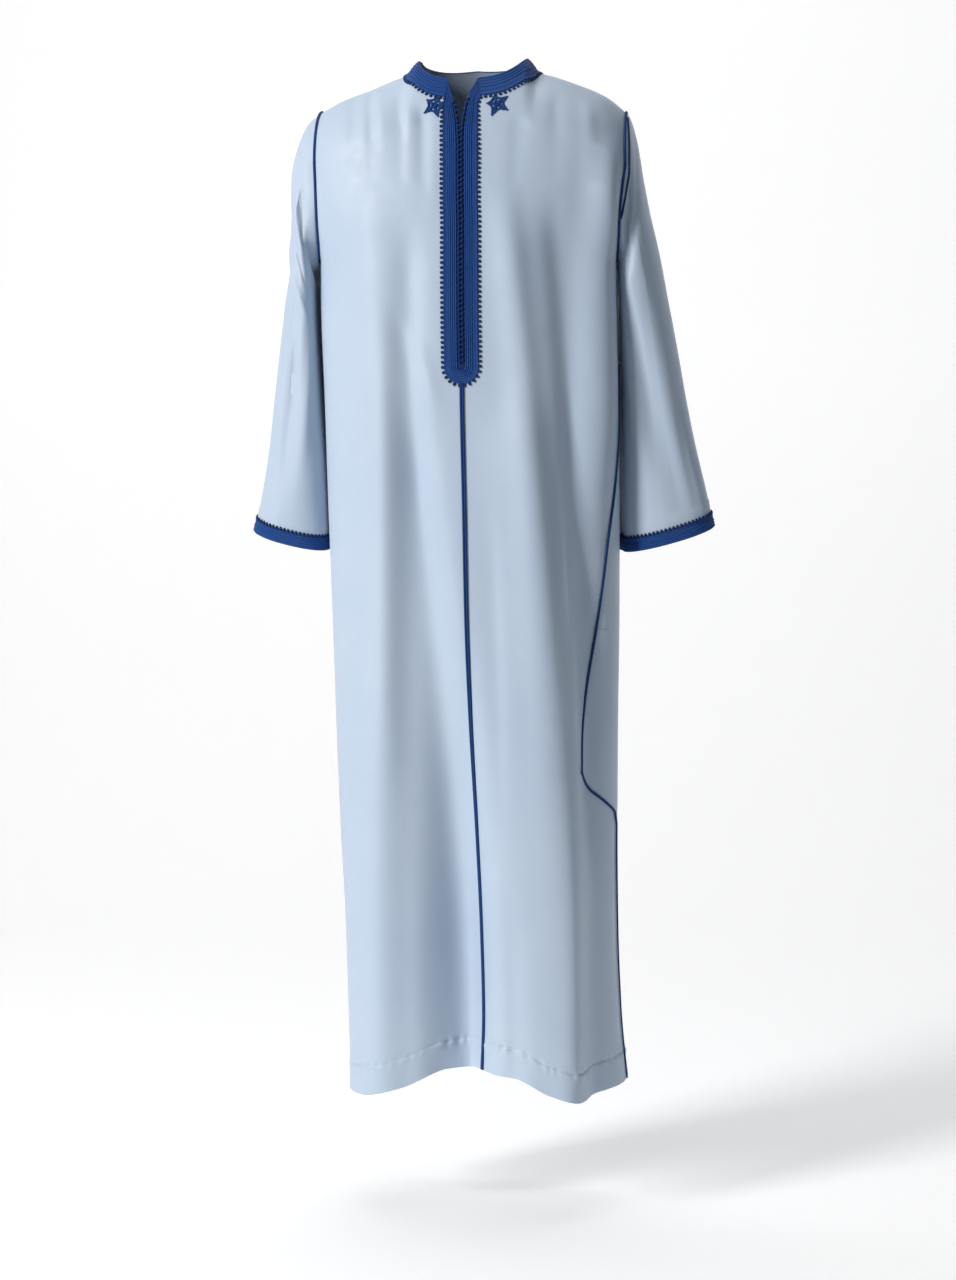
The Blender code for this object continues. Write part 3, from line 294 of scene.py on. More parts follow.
# Folds: the face they lie on, a centre line from its top to its bottom (x and z of each), its bow
# sideways, half width and height at each end (a trough is negative), how much wider the +x slope is,
# and the lengths over which it starts and dies away. The first eleven are the CAD part's main folds,
# some of them moved, widened, or made deeper or shallower.
FOLDS = (
    (-1, -0.005, -0.72, -0.003, -1.46, 0, 0.03, 0.05, 0, -0.07, -0.28, 0.1, 0),
    (-1, -0.078, -0.2, -0.084, -1.3, 0, 0.018, 0.026, -0.006, -0.006, 0, 0.1, 0),
    (-1, 0.116, -0.16, 0.184, -1.12, 0.006, 0.018, 0.024, -0.007, -0.014, 0, 0.1, 0),
    (-1, -0.128, -0.14, -0.12, -1.46, 0, 0.028, 0.034, 0.005, 0.015, 0, 0.1, 0),
    (-1, 0.066, -0.42, 0.108, -1.46, 0.004, 0.034, 0.042, 0.008, 0.014, -0.15, 0.1, 0),
    (-1, 0.176, -0.18, 0.15, -0.72, 0, 0.018, 0.022, 0.006, 0.006, 0, 0.1, 0),
    (1, -0.125, -0.3, -0.14, -1.46, 0, 0.026, 0.038, -0.005, -0.022, 0, 0.1, 0),
    (1, -0.05, -0.26, -0.062, -1.46, 0, 0.03, 0.036, 0.004, 0.015, 0, 0.1, 0),
    (1, 0.02, -0.34, 0.01, -1.46, 0, 0.024, 0.036, -0.005, -0.027, 0, 0.1, 0),
    (1, 0.072, -0.24, 0.088, -1.46, 0, 0.026, 0.034, 0.004, 0.015, 0, 0.1, 0),
    (1, 0.128, -0.32, 0.158, -1.46, 0, 0.024, 0.032, -0.005, -0.019, 0, 0.1, 0),
    # Drag creases below the wearer's right shoulder
    (-1, -0.164, -0.028, -0.158, -0.14, 0.002, 0.006, 0.011, -0.0022, -0.0008, 0.2, 0.02, 0.06),
    (-1, -0.142, -0.02, -0.129, -0.165, 0.004, 0.007, 0.013, -0.003, -0.0012, 0.3, 0.02, 0.09),
    (-1, -0.127, -0.016, -0.115, -0.16, 0.003, 0.007, 0.011, 0.002, 0.0008, 0, 0.02, 0.09),
    (-1, -0.099, -0.022, -0.087, -0.18, 0.004, 0.008, 0.013, -0.0032, -0.0014, -0.2, 0.03, 0.1),
    (-1, -0.083, -0.045, -0.074, -0.18, 0.003, 0.008, 0.012, 0.0018, 0.0008, 0, 0.03, 0.09),
    (-1, -0.064, -0.05, -0.056, -0.2, 0.002, 0.008, 0.013, -0.0027, -0.0012, 0.2, 0.03, 0.11),
    (-1, -0.047, -0.085, -0.044, -0.23, 0.001, 0.007, 0.01, 0.0016, 0.0008, 0, 0.03, 0.08),
    # Below the wearer's left shoulder the cloth lies flatter
    (-1, 0.068, -0.06, 0.06, -0.21, 0.002, 0.009, 0.014, -0.002, -0.001, 0, 0.04, 0.08),
    (-1, 0.118, -0.03, 0.12, -0.17, 0.002, 0.01, 0.014, -0.002, -0.001, 0, 0.04, 0.08),
    (-1, 0.16, -0.04, 0.168, -0.16, 0.002, 0.009, 0.012, 0.002, 0.001, 0, 0.04, 0.06),
    # Diagonal drag from the chest towards the end of the slit
    (-1, -0.086, -0.34, -0.036, -0.49, 0.006, 0.01, 0.012, 0.003, 0.0022, 0.2, 0.06, 0.07),
    (-1, -0.104, -0.32, -0.072, -0.5, 0.006, 0.011, 0.013, -0.0022, -0.002, 0, 0.06, 0.09),
    # Long soft folds down the front
    (-1, -0.082, -0.42, -0.016, -1.46, 0.0125, 0.017, 0.052, -0.013, -0.036, 0, 0.14, 0.55),
    (-1, -0.114, -0.3, -0.106, -1.06, 0.003, 0.015, 0.018, 0.004, 0.0065, -0.1, 0.16, 0.24),
    (-1, -0.151, -0.28, -0.146, -1.05, 0.003, 0.01, 0.012, -0.0028, -0.0022, 0.2, 0.12, 0.25),
    (-1, -0.186, -0.42, -0.166, -1.46, 0.003, 0.012, 0.018, 0.0014, 0.005, 0.2, 0.16, 0),
    (-1, 0.048, -0.12, 0.15, -1.46, 0.012, 0.021, 0.028, 0.0085, 0.0165, -0.1, 0.16, 0),
    (-1, 0.136, -0.38, 0.18, -1.12, 0, 0.012, 0.016, -0.0045, -0.006, 0, 0.16, 0.2),
    (-1, 0.14, -0.16, 0.198, -1.2, 0, 0.016, 0.02, -0.003, -0.006, 0, 0.1, 0.16),
    (-1, 0.187, -0.09, 0.188, -0.66, 0.001, 0.02, 0.019, 0.016, 0.015, -0.1, 0.09, 0.22),
    (-1, 0.03, -0.56, 0.046, -1.12, 0.004, 0.012, 0.014, -0.0014, -0.002, -0.2, 0.16, 0.2),
    (-1, 0.134, -0.64, 0.15, -0.93, 0.001, 0.0045, 0.006, 0.0014, 0.001, 0.2, 0.08, 0.1),
    (-1, 0.122, -0.52, 0.128, -0.8, 0.002, 0.008, 0.01, -0.0016, -0.001, 0, 0.1, 0.12),
    (-1, 0.192, -0.72, 0.19, -1.46, 0.002, 0.01, 0.016, 0.0016, 0.004, 0, 0.2, 0),
    (-1, -0.078, -0.98, -0.072, -1.46, 0.003, 0.012, 0.018, 0.0012, 0.004, 0, 0.2, 0),
    (-1, 0.06, -1.06, 0.07, -1.46, 0.002, 0.012, 0.018, -0.001, -0.004, 0, 0.2, 0),
    (-1, 0.16, -1.02, 0.154, -1.46, 0.002, 0.014, 0.018, -0.0012, -0.006, 0, 0.2, 0),
    # The back hangs in long folds from the shoulder blades
    (1, -0.16, -0.05, -0.13, -0.2, 0.003, 0.01, 0.014, -0.0034, -0.0016, 0, 0.04, 0.08),
    (1, -0.105, -0.02, -0.086, -0.18, 0.003, 0.009, 0.013, -0.0034, -0.0018, 0.2, 0.04, 0.08),
    (1, -0.126, -0.06, -0.104, -0.22, 0.003, 0.009, 0.013, 0.002, 0.0012, 0, 0.04, 0.08),
    (1, 0.1, -0.022, 0.088, -0.19, -0.003, 0.009, 0.013, -0.0036, -0.0018, -0.2, 0.04, 0.08),
    (1, 0.158, -0.052, 0.134, -0.18, -0.003, 0.01, 0.014, -0.003, -0.0016, 0, 0.04, 0.08),
    (1, 0.124, -0.06, 0.11, -0.2, -0.003, 0.009, 0.012, 0.002, 0.001, 0, 0.04, 0.08),
    (1, -0.092, -0.4, -0.104, -1.46, 0.004, 0.014, 0.02, 0.0024, 0.007, 0.2, 0.2, 0),
    (1, -0.02, -0.45, -0.024, -1.46, -0.004, 0.013, 0.018, -0.0024, -0.007, 0, 0.2, 0),
    (1, 0.046, -0.5, 0.048, -1.46, 0.005, 0.013, 0.018, 0.0022, 0.005, 0, 0.2, 0),
    (1, 0.104, -0.42, 0.12, -1.46, -0.004, 0.013, 0.018, -0.0026, -0.007, 0.2, 0.2, 0),
    (1, 0.17, -0.46, 0.186, -1.46, 0.003, 0.014, 0.02, 0.0024, 0.006, 0, 0.2, 0),
    (1, -0.168, -0.46, -0.16, -1.46, 0.003, 0.014, 0.02, 0.0024, 0.006, 0, 0.2, 0))

# Folds of the sleeves: the side, turn and z of the top, turn and z of the bottom, width and height.
# Turns and widths are in degrees, round from the outer edge by way of the front.
SLEEVE_FOLDS = (
    (-1, 35, -0.085, 125, -0.265, 16, -0.007),
    (-1, 80, -0.3, 72, -0.61, 20, -0.008),
    (-1, 250, -0.28, 285, -0.6, 22, -0.007),
    (1, 60, -0.11, 118, -0.3, 16, -0.006),
    (1, 118, -0.3, 66, -0.64, 20, -0.008),
    (1, 290, -0.26, 250, -0.6, 22, -0.007),
    # Drag creases from the shoulder tip and the underarm
    (-1, 20, -0.075, 70, -0.2, 7, -0.0022),
    (-1, 18, -0.18, 118, -0.3, 7, -0.0042),
    (-1, 14, -0.215, 116, -0.345, 9, 0.0044),
    (-1, 95, -0.21, 60, -0.39, 8, -0.0022),
    (-1, 130, -0.33, 105, -0.56, 10, 0.0026),
    (-1, 45, -0.42, 40, -0.66, 9, -0.0016),
    (-1, 320, -0.09, 270, -0.26, 9, -0.0024),
    (-1, 210, -0.33, 230, -0.62, 12, 0.003),
    (1, 22, -0.08, 60, -0.19, 7, -0.0016),
    (1, 92, -0.15, 75, -0.33, 8, 0.0026),
    (1, 40, -0.15, 110, -0.29, 8, -0.0024),
    (1, 135, -0.3, 120, -0.56, 10, 0.0024),
    (1, 48, -0.43, 42, -0.66, 9, -0.0014),
    (1, 84, -0.46, 88, -0.66, 7, 0.0012),
    (1, 318, -0.09, 275, -0.26, 9, -0.0022),
    (1, 215, -0.33, 235, -0.62, 12, 0.0028))


def smooth(table, name, where):
    """Read a column of a table over its first, on a smooth curve that keeps to the rows' rises and falls."""
    xs = next(iter(table.values()))
    ys = table[name]
    steps = np.diff(xs)
    slopes = np.diff(ys) / steps
    turns = np.zeros_like(ys)
    same_way = slopes[1:] * slopes[:-1] > 0
    turns[1:-1][same_way] = 2 / (1 / slopes[1:][same_way] + 1 / slopes[:-1][same_way])
    turns[0] = slopes[0]
    turns[-1] = slopes[-1]
    where = np.clip(where, xs[0], xs[-1])
    i = np.clip(np.searchsorted(xs, where) - 1, 0, len(xs) - 2)
    t = (where - xs[i]) / steps[i]
    start = (1 + 2 * t) * (1 - t) ** 2 * ys[i] + t * t * (3 - 2 * t) * ys[i + 1]
    return start + steps[i] * (t * (1 - t) ** 2 * turns[i] - t * t * (1 - t) * turns[i + 1])


def hand(side):
    return "left" if side > 0 else "right"


def ease(t):
    t = np.clip(t, 0, 1)
    return t * t * (3 - 2 * t)


def power(value, exponent):
    return np.sign(value) * np.abs(value) ** exponent


def bell(away, width):
    return np.exp(-(away / width) ** 2)


def unit(vectors):
    return vectors / np.linalg.norm(vectors, axis=-1, keepdims=True)


def stacked(parts):
    return np.stack(np.broadcast_arrays(*parts), axis=-1)


def direction(first, second):
    out = np.cross(first, second)
    return out / np.maximum(np.linalg.norm(out, axis=-1, keepdims=True), HAIR * HAIR)


def refine(values, step):
    """The same run of values with more between them, none further apart than step."""
    out = []
    for a, b in zip(values[:-1], values[1:]):
        count = max(1, int(math.ceil(abs(b - a) / step - HAIR)))
        out.extend(a + (b - a) * k / count for k in range(count))
    return np.array(out + [values[-1]])


def waver(x, seed):
    """A smooth uneven curve about zero, the same on every run."""
    return (np.sin(1.7 * x + seed) + np.sin(2.9 * x + 2.3 * seed + 1) + np.sin(4.7 * x + 3.1 * seed)) / 3


def arc_length(path):
    run = np.linalg.norm(np.diff(path, axis=0), axis=-1)
    return np.concatenate([[0.0], np.cumsum(run)])


def even_steps(path, step):
    """Places along a path, as fractional indexes, an even step apart."""
    length = arc_length(path)
    count = max(2, int(round(length[-1] / step)))
    return np.interp(np.linspace(0, length[-1], count + 1), length, np.arange(len(path)))


def at_index(values, index):
    """Values read between whole indexes along the first axis."""
    low = np.clip(np.floor(index).astype(int), 0, len(values) - 2)
    t = (index - low).reshape((-1,) + (1,) * (values.ndim - 1))
    return values[low] * (1 - t) + values[low + 1] * t


# The robe's surface

def centre_x(z):
    return smooth(BODY, "centre", z)


def half_width(side, z):
    """Distance from the centre line to the section's edge on one side."""
    right = centre_x(z) - smooth(BODY, "x_right", z)
    left = smooth(BODY, "x_left", z) - centre_x(z)
    return np.where(np.asarray(side) > 0, left, right)


def fold_height(face, x, z):
    """How far the folds move the cloth out of its plain section."""
    total = np.zeros_like(x + z)
    for (on_face, x_top, z_top, x_end, z_end, bow, width_top, width_end, height_top, height_end,
         lean, start, end) in FOLDS:
        along = np.clip((z_top - z) / (z_top - z_end), 0, 1)
        middle = x_top + (x_end - x_top) * along + bow * np.sin(np.pi * along)
        width = width_top + (width_end - width_top) * along
        width = width * np.where(x > middle, 1 + lean, 1 - lean)
        height = (height_top + (height_end - height_top) * ease(along)) * ease((z_top - z) / start)
        if end > 0:
            height = height * ease((z - z_end) / end)
        total = total + np.where(face == on_face, height * bell(x - middle, width), 0)
    return total


def plain_section(side, turn, z):
    """A point of the unfolded level section, turn degrees round from the centre front."""
    turn = np.radians(turn)
    exponent = 2 / smooth(BODY, "square", z)
    x = centre_x(z) + side * half_width(side, z) * power(np.sin(turn), exponent)
    ahead = np.cos(turn)
    depth = np.where(ahead > 0, smooth(BODY, "front", z), smooth(BODY, "back", z))
    return x, -depth * power(ahead, exponent), z + 0 * x


def side_x(side, y, z):
    """The x of the back's plain surface at y and z, on one side."""
    square = smooth(BODY, "square", z)
    share = np.clip(np.abs(y) / smooth(BODY, "back", z), 0, 1)
    return centre_x(z) + side * half_width(side, z) * (1 - share ** square) ** (1 / square)


def section_turn(side, x, z):
    """The turn, from 0 to 90 degrees, at which the section reaches x."""
    share = side * (x - centre_x(z)) / half_width(side, z)
    return np.degrees(np.arcsin(power(np.clip(share, -1, 1), smooth(BODY, "square", z) / 2)))


def rib_span(x):
    return smooth(SHOULDER, "span", np.abs(x))


def rib_start(x):
    """The height where the rib at x leaves the level sections."""
    right, left = (smooth(SHOULDER, name, np.abs(x)) for name in ("top_right", "top_left"))
    return np.where(np.asarray(x) < 0, right, left) - rib_span(x)


def plain_rib(side, face, x, over):
    """A point over degrees up a rib: 0 where it leaves the sections, 90 on the shoulder line."""
    low = rib_start(x)
    turn = section_turn(side, x, low)
    depth = smooth(BODY, "front" if face < 0 else "back", low)
    start = face * depth * power(np.cos(np.radians(turn)), 2 / smooth(BODY, "square", low))
    over = np.radians(over)
    return x + 0 * over, RIDGE_Y + (start - RIDGE_Y) * np.cos(over), low + rib_span(x) * np.sin(over)


def plain_front(x, z):
    """The unfolded front at x and z: a level section, or a rib above the chest."""
    side = np.where(x > centre_x(z), 1, -1)
    low = rib_start(x)
    below = stacked(plain_section(side, section_turn(side, x, z), z))
    over = np.degrees(np.arcsin(np.clip((z - low) / rib_span(x), 0, 1)))
    place = np.where((z < low)[..., None], below, stacked(plain_rib(side, -1, x, over)))
    return place[..., 0], place[..., 1], place[..., 2]


def folded(place, u, v, step_u, step_v, sign):
    """Points and outward directions of a surface, given its plain form and its folds."""
    def at(p, q):
        plain = stacked(place(p, q))
        along_u = stacked(place(p + step_u, q)) - stacked(place(p - step_u, q))
        along_v = stacked(place(p, q + step_v)) - stacked(place(p, q - step_v))
        out = sign * direction(along_u, along_v)
        height = fold_height(np.where(out[..., 1] < 0, -1, 1), plain[..., 0], plain[..., 2])
        share = np.clip(np.abs(out[..., 1]) * FOLD_FACING, 0, 1)
        return plain + out * (height * share)[..., None]
    along_u = at(u + step_u, v) - at(u - step_u, v)
    along_v = at(u, v + step_v) - at(u, v - step_v)
    return at(u, v), sign * direction(along_u, along_v)


def section_points(side, turn, z):
    return folded(lambda p, q: plain_section(side, p, q), turn, z, *SECTION_STEPS, side)


def rib_points(side, face, x, over):
    return folded(lambda p, q: plain_rib(side, face, p, q), x, over, *RIB_STEPS, -face)


def front_points(x, z):
    """Points and directions of the finished front cloth at x and z."""
    return folded(plain_front, x, z, *FRONT_STEPS, 1)


# The edges of the cloth pieces

def gore_edge(side, name, z):
    """The front or back seam line of the side gore, read with straight runs for its sharp corners."""
    return np.interp(z, SIDE_EDGE["z"][::-1], SIDE_EDGE[name + "_" + hand(side)][::-1])


def armhole_x(side, z):
    return smooth(ARMHOLE, "x_" + hand(side), z)


def neck_turn(x, face):
    """Degrees up a rib to the neck edge, whose middle lies at the centre line."""
    centre = float(centre_x(NECK_LEVEL))
    side = np.where(x > centre, 1, -1)
    share = np.clip((x - centre) / (side * NECK_HALF_WIDTH - centre), 0, 1)
    drop = (1 - share ** (2 / NECK_SQUARE)) ** (NECK_SQUARE / 2)
    return 90 - (NECK_FRONT_TURN if face < 0 else NECK_BACK_TURN) * drop


def v_gap(z):
    """Half the width of the slit, or of the seam below it."""
    return np.where(z > SLIT_BOTTOM, smooth(SLIT, "half", z), SEAM_GAP / 2)


def side_turn(side, face, z):
    """The panel's outer edge in degrees round from its own centre line."""
    armhole = section_turn(side, armhole_x(side, z), z)
    seam = gore_edge(side, "front" if face < 0 else "back", z)
    below = seam if face < 0 else 180 - seam
    return np.where(z > UNDERARM + HAIR, armhole, below - EDGE_BACKSET)


def inner_turn(side, face, z):
    """The panel's centre edge in degrees: the slit or the seam in front, the middle at the back."""
    if face > 0:
        return 0.0 * z
    return section_turn(side, centre_x(z) + side * v_gap(z), z)


def hem_height(side, turn):
    return smooth(HEM, hand(side), turn)


def hem_relief(side, turn, above):
    """The turned-up hem: its doubled cloth, and small puckers along the line that holds it."""
    around = side * turn / 90 * QUARTER_ROUND
    doubled = TURN_UP_STEP * (1 - ease((above - TURN_UP + 0.001) / 0.003))
    wave = np.cos(2 * np.pi * (around / PUCKER_PITCH + 0.45 * waver(around * 40, 1.0)))
    strength = np.clip(0.65 + 0.75 * waver(around * 23, 2.0), 0.35, 1.3)
    pucker = PUCKER_HEIGHT * wave * strength * bell(above - TURN_UP + 0.002, PUCKER_REACH)
    line = HEM_LINE_DEPTH * bell(above - TURN_UP, HEM_LINE_WIDTH) * (0.5 + 0.7 * strength)
    droop = HEM_DROOP * waver(around * 31, 4.0) * (1 - ease(above / TURN_UP))
    return doubled + pucker - line + droop


# Meshes

def make_object(name, points, faces, uvs=None):
    """A smooth mesh object from arrays; uvs gives (u, v) for each point."""
    mesh = bpy.data.meshes.new(name)
    mesh.from_pydata(points.tolist(), [], [tuple(f) for f in faces])
    if uvs is not None:
        layer = mesh.uv_layers.new(name="UVMap")
        corners = np.empty(len(mesh.loops), np.int32)
        mesh.loops.foreach_get("vertex_index", corners)
        layer.data.foreach_set("uv", uvs[corners].astype(np.float32).ravel())
    mesh.shade_smooth()
    mesh.set_sharp_from_angle(angle=math.radians(SHARP_ANGLE))
    return add_object(name, mesh)


def add_object(name, data):
    thing = bpy.data.objects.new(name, data)
    bpy.context.scene.collection.objects.link(thing)
    return thing


def grid_faces(rows, cols, around=False):
    """Four-sided faces of a grid of points, numbered row by row."""
    i = np.arange(rows - 1)[:, None]
    j = np.arange(cols if around else cols - 1)[None, :]
    k = (j + 1) % cols
    return stacked((i * cols + j, i * cols + k, (i + 1) * cols + k, (i + 1) * cols + j)).reshape(-1, 4)


def shell(name, points, outward, around=False):
    """A closed thin wall of cloth: the outer points, the same points moved in, and its edges."""
    rows, cols = points.shape[:2]
    flat = points.reshape(-1, 3)
    first = grid_faces(rows, cols, around)
    a, b, _, d = first[len(first) // 2]
    facing = np.cross(flat[b] - flat[a], flat[d] - flat[a])
    half = rows * cols
    number = np.arange(half).reshape(rows, cols)
    following = np.roll(number, -1, axis=1)
    across = slice(None) if around else slice(None, -1)
    rims = [(following[0, across], number[0, across]), (number[-1, across], following[-1, across])]
    if not around:
        rims += [(number[:-1, 0], number[1:, 0]), (number[1:, -1], number[:-1, -1])]
    faces = [first, half + first[:, ::-1]] + [stacked((p, q, half + q, half + p)) for p, q in rims]
    faces = np.concatenate(faces)
    if float(np.dot(facing, outward.reshape(-1, 3)[a])) < 0:
        faces = faces[:, ::-1]
    inner = (points - outward * CLOTH).reshape(-1, 3)
    return make_object(name, np.concatenate([flat, inner]), faces)


def ring_faces(rows, count, closed):
    """Faces round a strip or a cord, whose ends are joined or capped."""
    faces = [tuple(f) for f in grid_faces(rows + closed, count, True) % (rows * count)]
    if not closed:
        faces += [tuple(reversed(range(count))), tuple(range((rows - 1) * count, rows * count))]
    return faces


def strip(name, base, outward, heights, uvs, closed=False):
    """A solid flat trim: stations by points across, raised by heights, with its underside on the cloth."""
    rows, cols = base.shape[:2]
    under = np.unique(np.linspace(cols - 1, 0, UNDERSIDE_POINTS).round().astype(int))[::-1]
    foot = base[:, under] + outward[:, under] * UNDERSIDE_LIFT
    ring = np.concatenate([base + outward * heights[..., None], foot], axis=1)
    uv = np.concatenate([uvs, uvs[:, under]], axis=1)
    faces = ring_faces(rows, ring.shape[1], closed)
    middle = cols // 2
    a, b, c = ring[0, middle], ring[0, middle + 1], ring[1, middle]
    if float(np.dot(np.cross(b - a, c - a), outward[0, middle])) < 0:
        faces = [f[::-1] for f in faces]
    return make_object(name, ring.reshape(-1, 3), faces, uv.reshape(-1, 2))


def closed_tube(path, outs, radius, sides):
    """Points, faces and uvs of a round cord along a closed path."""
    ahead = np.roll(path, -1, axis=0) - np.roll(path, 1, axis=0)
    across = direction(ahead, outs)
    ups = direction(across, ahead)
    phi = np.linspace(0, 2 * math.pi, sides, endpoint=False)
    ring = np.cos(phi)[None, :, None] * across[:, None, :] + np.sin(phi)[None, :, None] * ups[:, None, :]
    faces = [f[::-1] for f in ring_faces(len(path), sides, True)]
    run = arc_length(path)
    uv = stacked((np.abs(np.sin(phi))[None, :] * radius, run[:, None]))
    return (path[:, None, :] + ring * radius).reshape(-1, 3), faces, uv.reshape(-1, 2)


def beads(places, outs, aheads, sizes, rings=7, sides=10, taper=0.0, square=1.0):
    """Points, faces and uvs of small wound knots: rounded beads with a spiral of thread round each. A
    tapered bead narrows forwards, and a low square value makes it blunter."""
    theta = np.linspace(0, math.pi, rings)
    phi = np.linspace(0, 2 * math.pi, sides, endpoint=False)
    rows = []
    for t in theta[1:-1]:
        reach = power(np.cos(t), square)
        girth = power(np.sin(t), square) * (1 - taper * reach)
        swell = 1 + BEAD_SWELL * np.sin(3 * phi + 5 * t)
        rows.append(stacked((reach, girth * np.cos(phi) * swell, girth * np.sin(phi) * swell)))
    shape = np.concatenate([[(1.0, 0, 0)], *rows, [(-1.0, 0, 0)]])
    body = 1 + grid_faces(rings - 2, sides, True)
    last = len(shape) - 1
    k = np.arange(sides)
    n = (k + 1) % sides
    ends = [(0, 1 + b, 1 + a) for a, b in zip(k, n)]
    ends += [(last - sides + a, last - sides + b, last) for a, b in zip(k, n)]
    across = direction(aheads, outs)
    points = places[:, None, :]
    for column, axis, size in zip(shape.T, (aheads, across, direction(across, aheads)), sizes):
        scaled = axis * np.broadcast_to(size, len(places))[:, None]
        points = points + column[None, :, None] * scaled[:, None, :]
    one = [tuple(f[::-1]) for f in body.tolist() + ends]
    faces = [tuple(len(shape) * i + c for c in f) for i in range(len(places)) for f in one]
    # The first coordinate grows across each bead, so the thread material paints shade on one side of it
    uv = np.stack([shape[:, 1] * 0.0008 + 0.0008, shape[:, 0] * 0.002], -1)
    return points.reshape(-1, 3), faces, np.tile(uv, (len(places), 1))


# Cloth

def grid_outward(points, guide, around=False):
    """Outward directions of a grid of points from its own slopes, turned the way guide points."""
    if around:
        across = np.roll(points, -1, axis=1) - np.roll(points, 1, axis=1)
    else:
        across = np.gradient(points, axis=1)
    out = direction(across, np.gradient(points, axis=0))
    return out * np.where(np.sum(out * guide, axis=-1, keepdims=True) < 0, -1, 1)


def panel_grid(side, face, places):
    """Fine grid of a front half or a back half, from hem to neck and shoulder."""
    centre = float(centre_x(NECK_LEVEL))
    near = np.append(np.maximum(0, 1 - places / NECK_HALF_WIDTH), 0.0)
    x = np.append(centre * near[:-1] + side * places, float(armhole_x(side, ARMHOLE_TOP)))
    low = rib_start(x)
    start = inner_turn(side, face, low)
    share = (section_turn(side, x, low) - start) / (side_turn(side, face, low) - start)
    share = np.maximum(share, 0.0)
    share[-1] = 1.0
    hem = hem_height(side, 90 + face * (90 - share * 90))
    near_hem = refine(HEM_ROWS, HEM_STEP)
    rest = refine((0.0, 1.0), 0.045)[1:-1]
    top = hem + near_hem[-1]
    heights = np.concatenate([hem[None, :] + near_hem[:, None],
                              top[None, :] + rest[:, None] * (LEVELS[0] - top[None, :]),
                              refine(LEVELS, LEVEL_STEP)[:, None] + 0 * hem[None, :]])
    begin = inner_turn(side, face, heights)
    turn = begin + share * (side_turn(side, face, heights) - begin)
    turn = turn if face < 0 else 180 - turn
    lower, lower_out = section_points(side, turn, heights)
    lower = lower + lower_out * hem_relief(side, turn, heights - hem[None, :])[..., None]
    parts = refine((0.0, 1.0), RIB_STEP)[:, None]
    over = parts * neck_turn(x, face)[None, :]
    x_here = x[None, :] + 0 * over
    if face < 0:
        for _ in range(8):
            height = plain_rib(side, face, x_here, over)[2]
            x_here = x[None, :] + side * v_gap(height) * near[None, :]
            over = parts * neck_turn(x_here, face)
        gap = np.abs(x_here - centre) - v_gap(plain_rib(side, face, x_here, over)[2])
        inside = np.clip(1 - gap / CORNER_RADIUS, 0, 1)
        drop = CORNER_RADIUS * (1 - np.sqrt(1 - inside ** 2)) * parts ** 6
        over = over - drop / RIB_DEGREE
    upper, upper_out = rib_points(side, face, x_here, over)
    points = np.concatenate([lower, upper])
    points[-1, :, 1] += np.where(over[-1] > 90 - 0.01, face * SEAM_GAP / 2, 0)
    return points, grid_outward(points, np.concatenate([lower_out, upper_out]))


def roll_edge(points, outward, column):
    """Turn a side edge of a panel in, as a seam does, over a short width."""
    step = 1 if column == 0 else -1
    run = np.zeros(points.shape[0])
    for j in range(column, column + 8 * step, step):
        points[:, j] -= outward[:, j] * (SEAM_ROLL * np.clip(1 - run / SEAM_ROLL_WIDTH, 0, 1) ** 2)[:, None]
        run = run + np.linalg.norm(points[:, j + step] - points[:, j], axis=-1)


FRONT_PLACES = np.append(refine((0.0, PLACKET_INNER), 0.0016),
                         refine((PLACKET_INNER, PLACKET_OUTER, 0.100, LAST_PLACE), 0.0021)[1:])
BACK_PLACES = refine((0.0, LAST_PLACE), 0.0030)


def make_cloth():
    """The robe's panels, and the armhole edges that the sleeves start from."""
    pieces = {}
    edges = {}
    backs = {}
    for name, side in SIDES:
        points, outward = panel_grid(side, -1, FRONT_PLACES)
        edges["front", side] = armhole_part(points, outward)
        roll_edge(points, outward, points.shape[1] - 1)
        pieces["front_" + name] = shell("cloth_front_" + name, points, outward)
        backs[side] = panel_grid(side, 1, BACK_PLACES)
        edges["back", side] = armhole_part(*backs[side])
    points, outward = (np.concatenate([backs[-1][k][:, ::-1], backs[1][k][:, 1:]], axis=1) for k in (0, 1))
    roll_edge(points, outward, 0)
    roll_edge(points, outward, points.shape[1] - 1)
    pieces["back"] = shell("cloth_back", points, outward)
    for name, side in SIDES:
        pieces["side_gore_" + name] = make_gore(name, side)
    return pieces, edges


def armhole_part(points, outward):
    """The armhole's edge, from its foot up to the shoulder tip, read off a panel's outer column."""
    levels = refine(LEVELS, LEVEL_STEP)
    first = points.shape[0] - len(refine((0.0, 1.0), RIB_STEP)) - len(levels)
    first += int(np.argmin(np.abs(levels - UNDERARM)))
    return points[first:, -1].copy(), outward[first:, -1].copy()


def make_gore(name, side):
    """The kite-shaped piece let in at the side, down to its point at the end of the side opening."""
    heights = refine([z for z in LEVELS if -1.045 < z < GORE_TOP], LEVEL_STEP)
    heights = np.append(GORE_POINT, heights)
    front = gore_edge(side, "front", heights) + GORE_BACKSET
    back = gore_edge(side, "back", heights) - GORE_BACKSET
    turns = front[:, None] + (back - front)[:, None] * np.linspace(0, 1, 26)[None, :]
    points, guide = section_points(side, turns, heights[:, None] + 0 * turns)
    outward = grid_outward(points, guide)
    roll_edge(points, outward, 0)
    roll_edge(points, outward, points.shape[1] - 1)
    return shell("cloth_side_gore_" + name, points, outward)


def sleeve_folds(side, around, z):
    """How far the drag folds move a sleeve's points."""
    total = np.zeros_like(around + z)
    for on_side, turn_top, z_top, turn_end, z_end, width, height in SLEEVE_FOLDS:
        if on_side == side:
            along = np.clip((z_top - z) / (z_top - z_end), 0, 1)
            away = (around - turn_top - (turn_end - turn_top) * along + 180) % 360 - 180
            total = total + height * np.sin(np.pi * along) * bell(away, width)
    return total


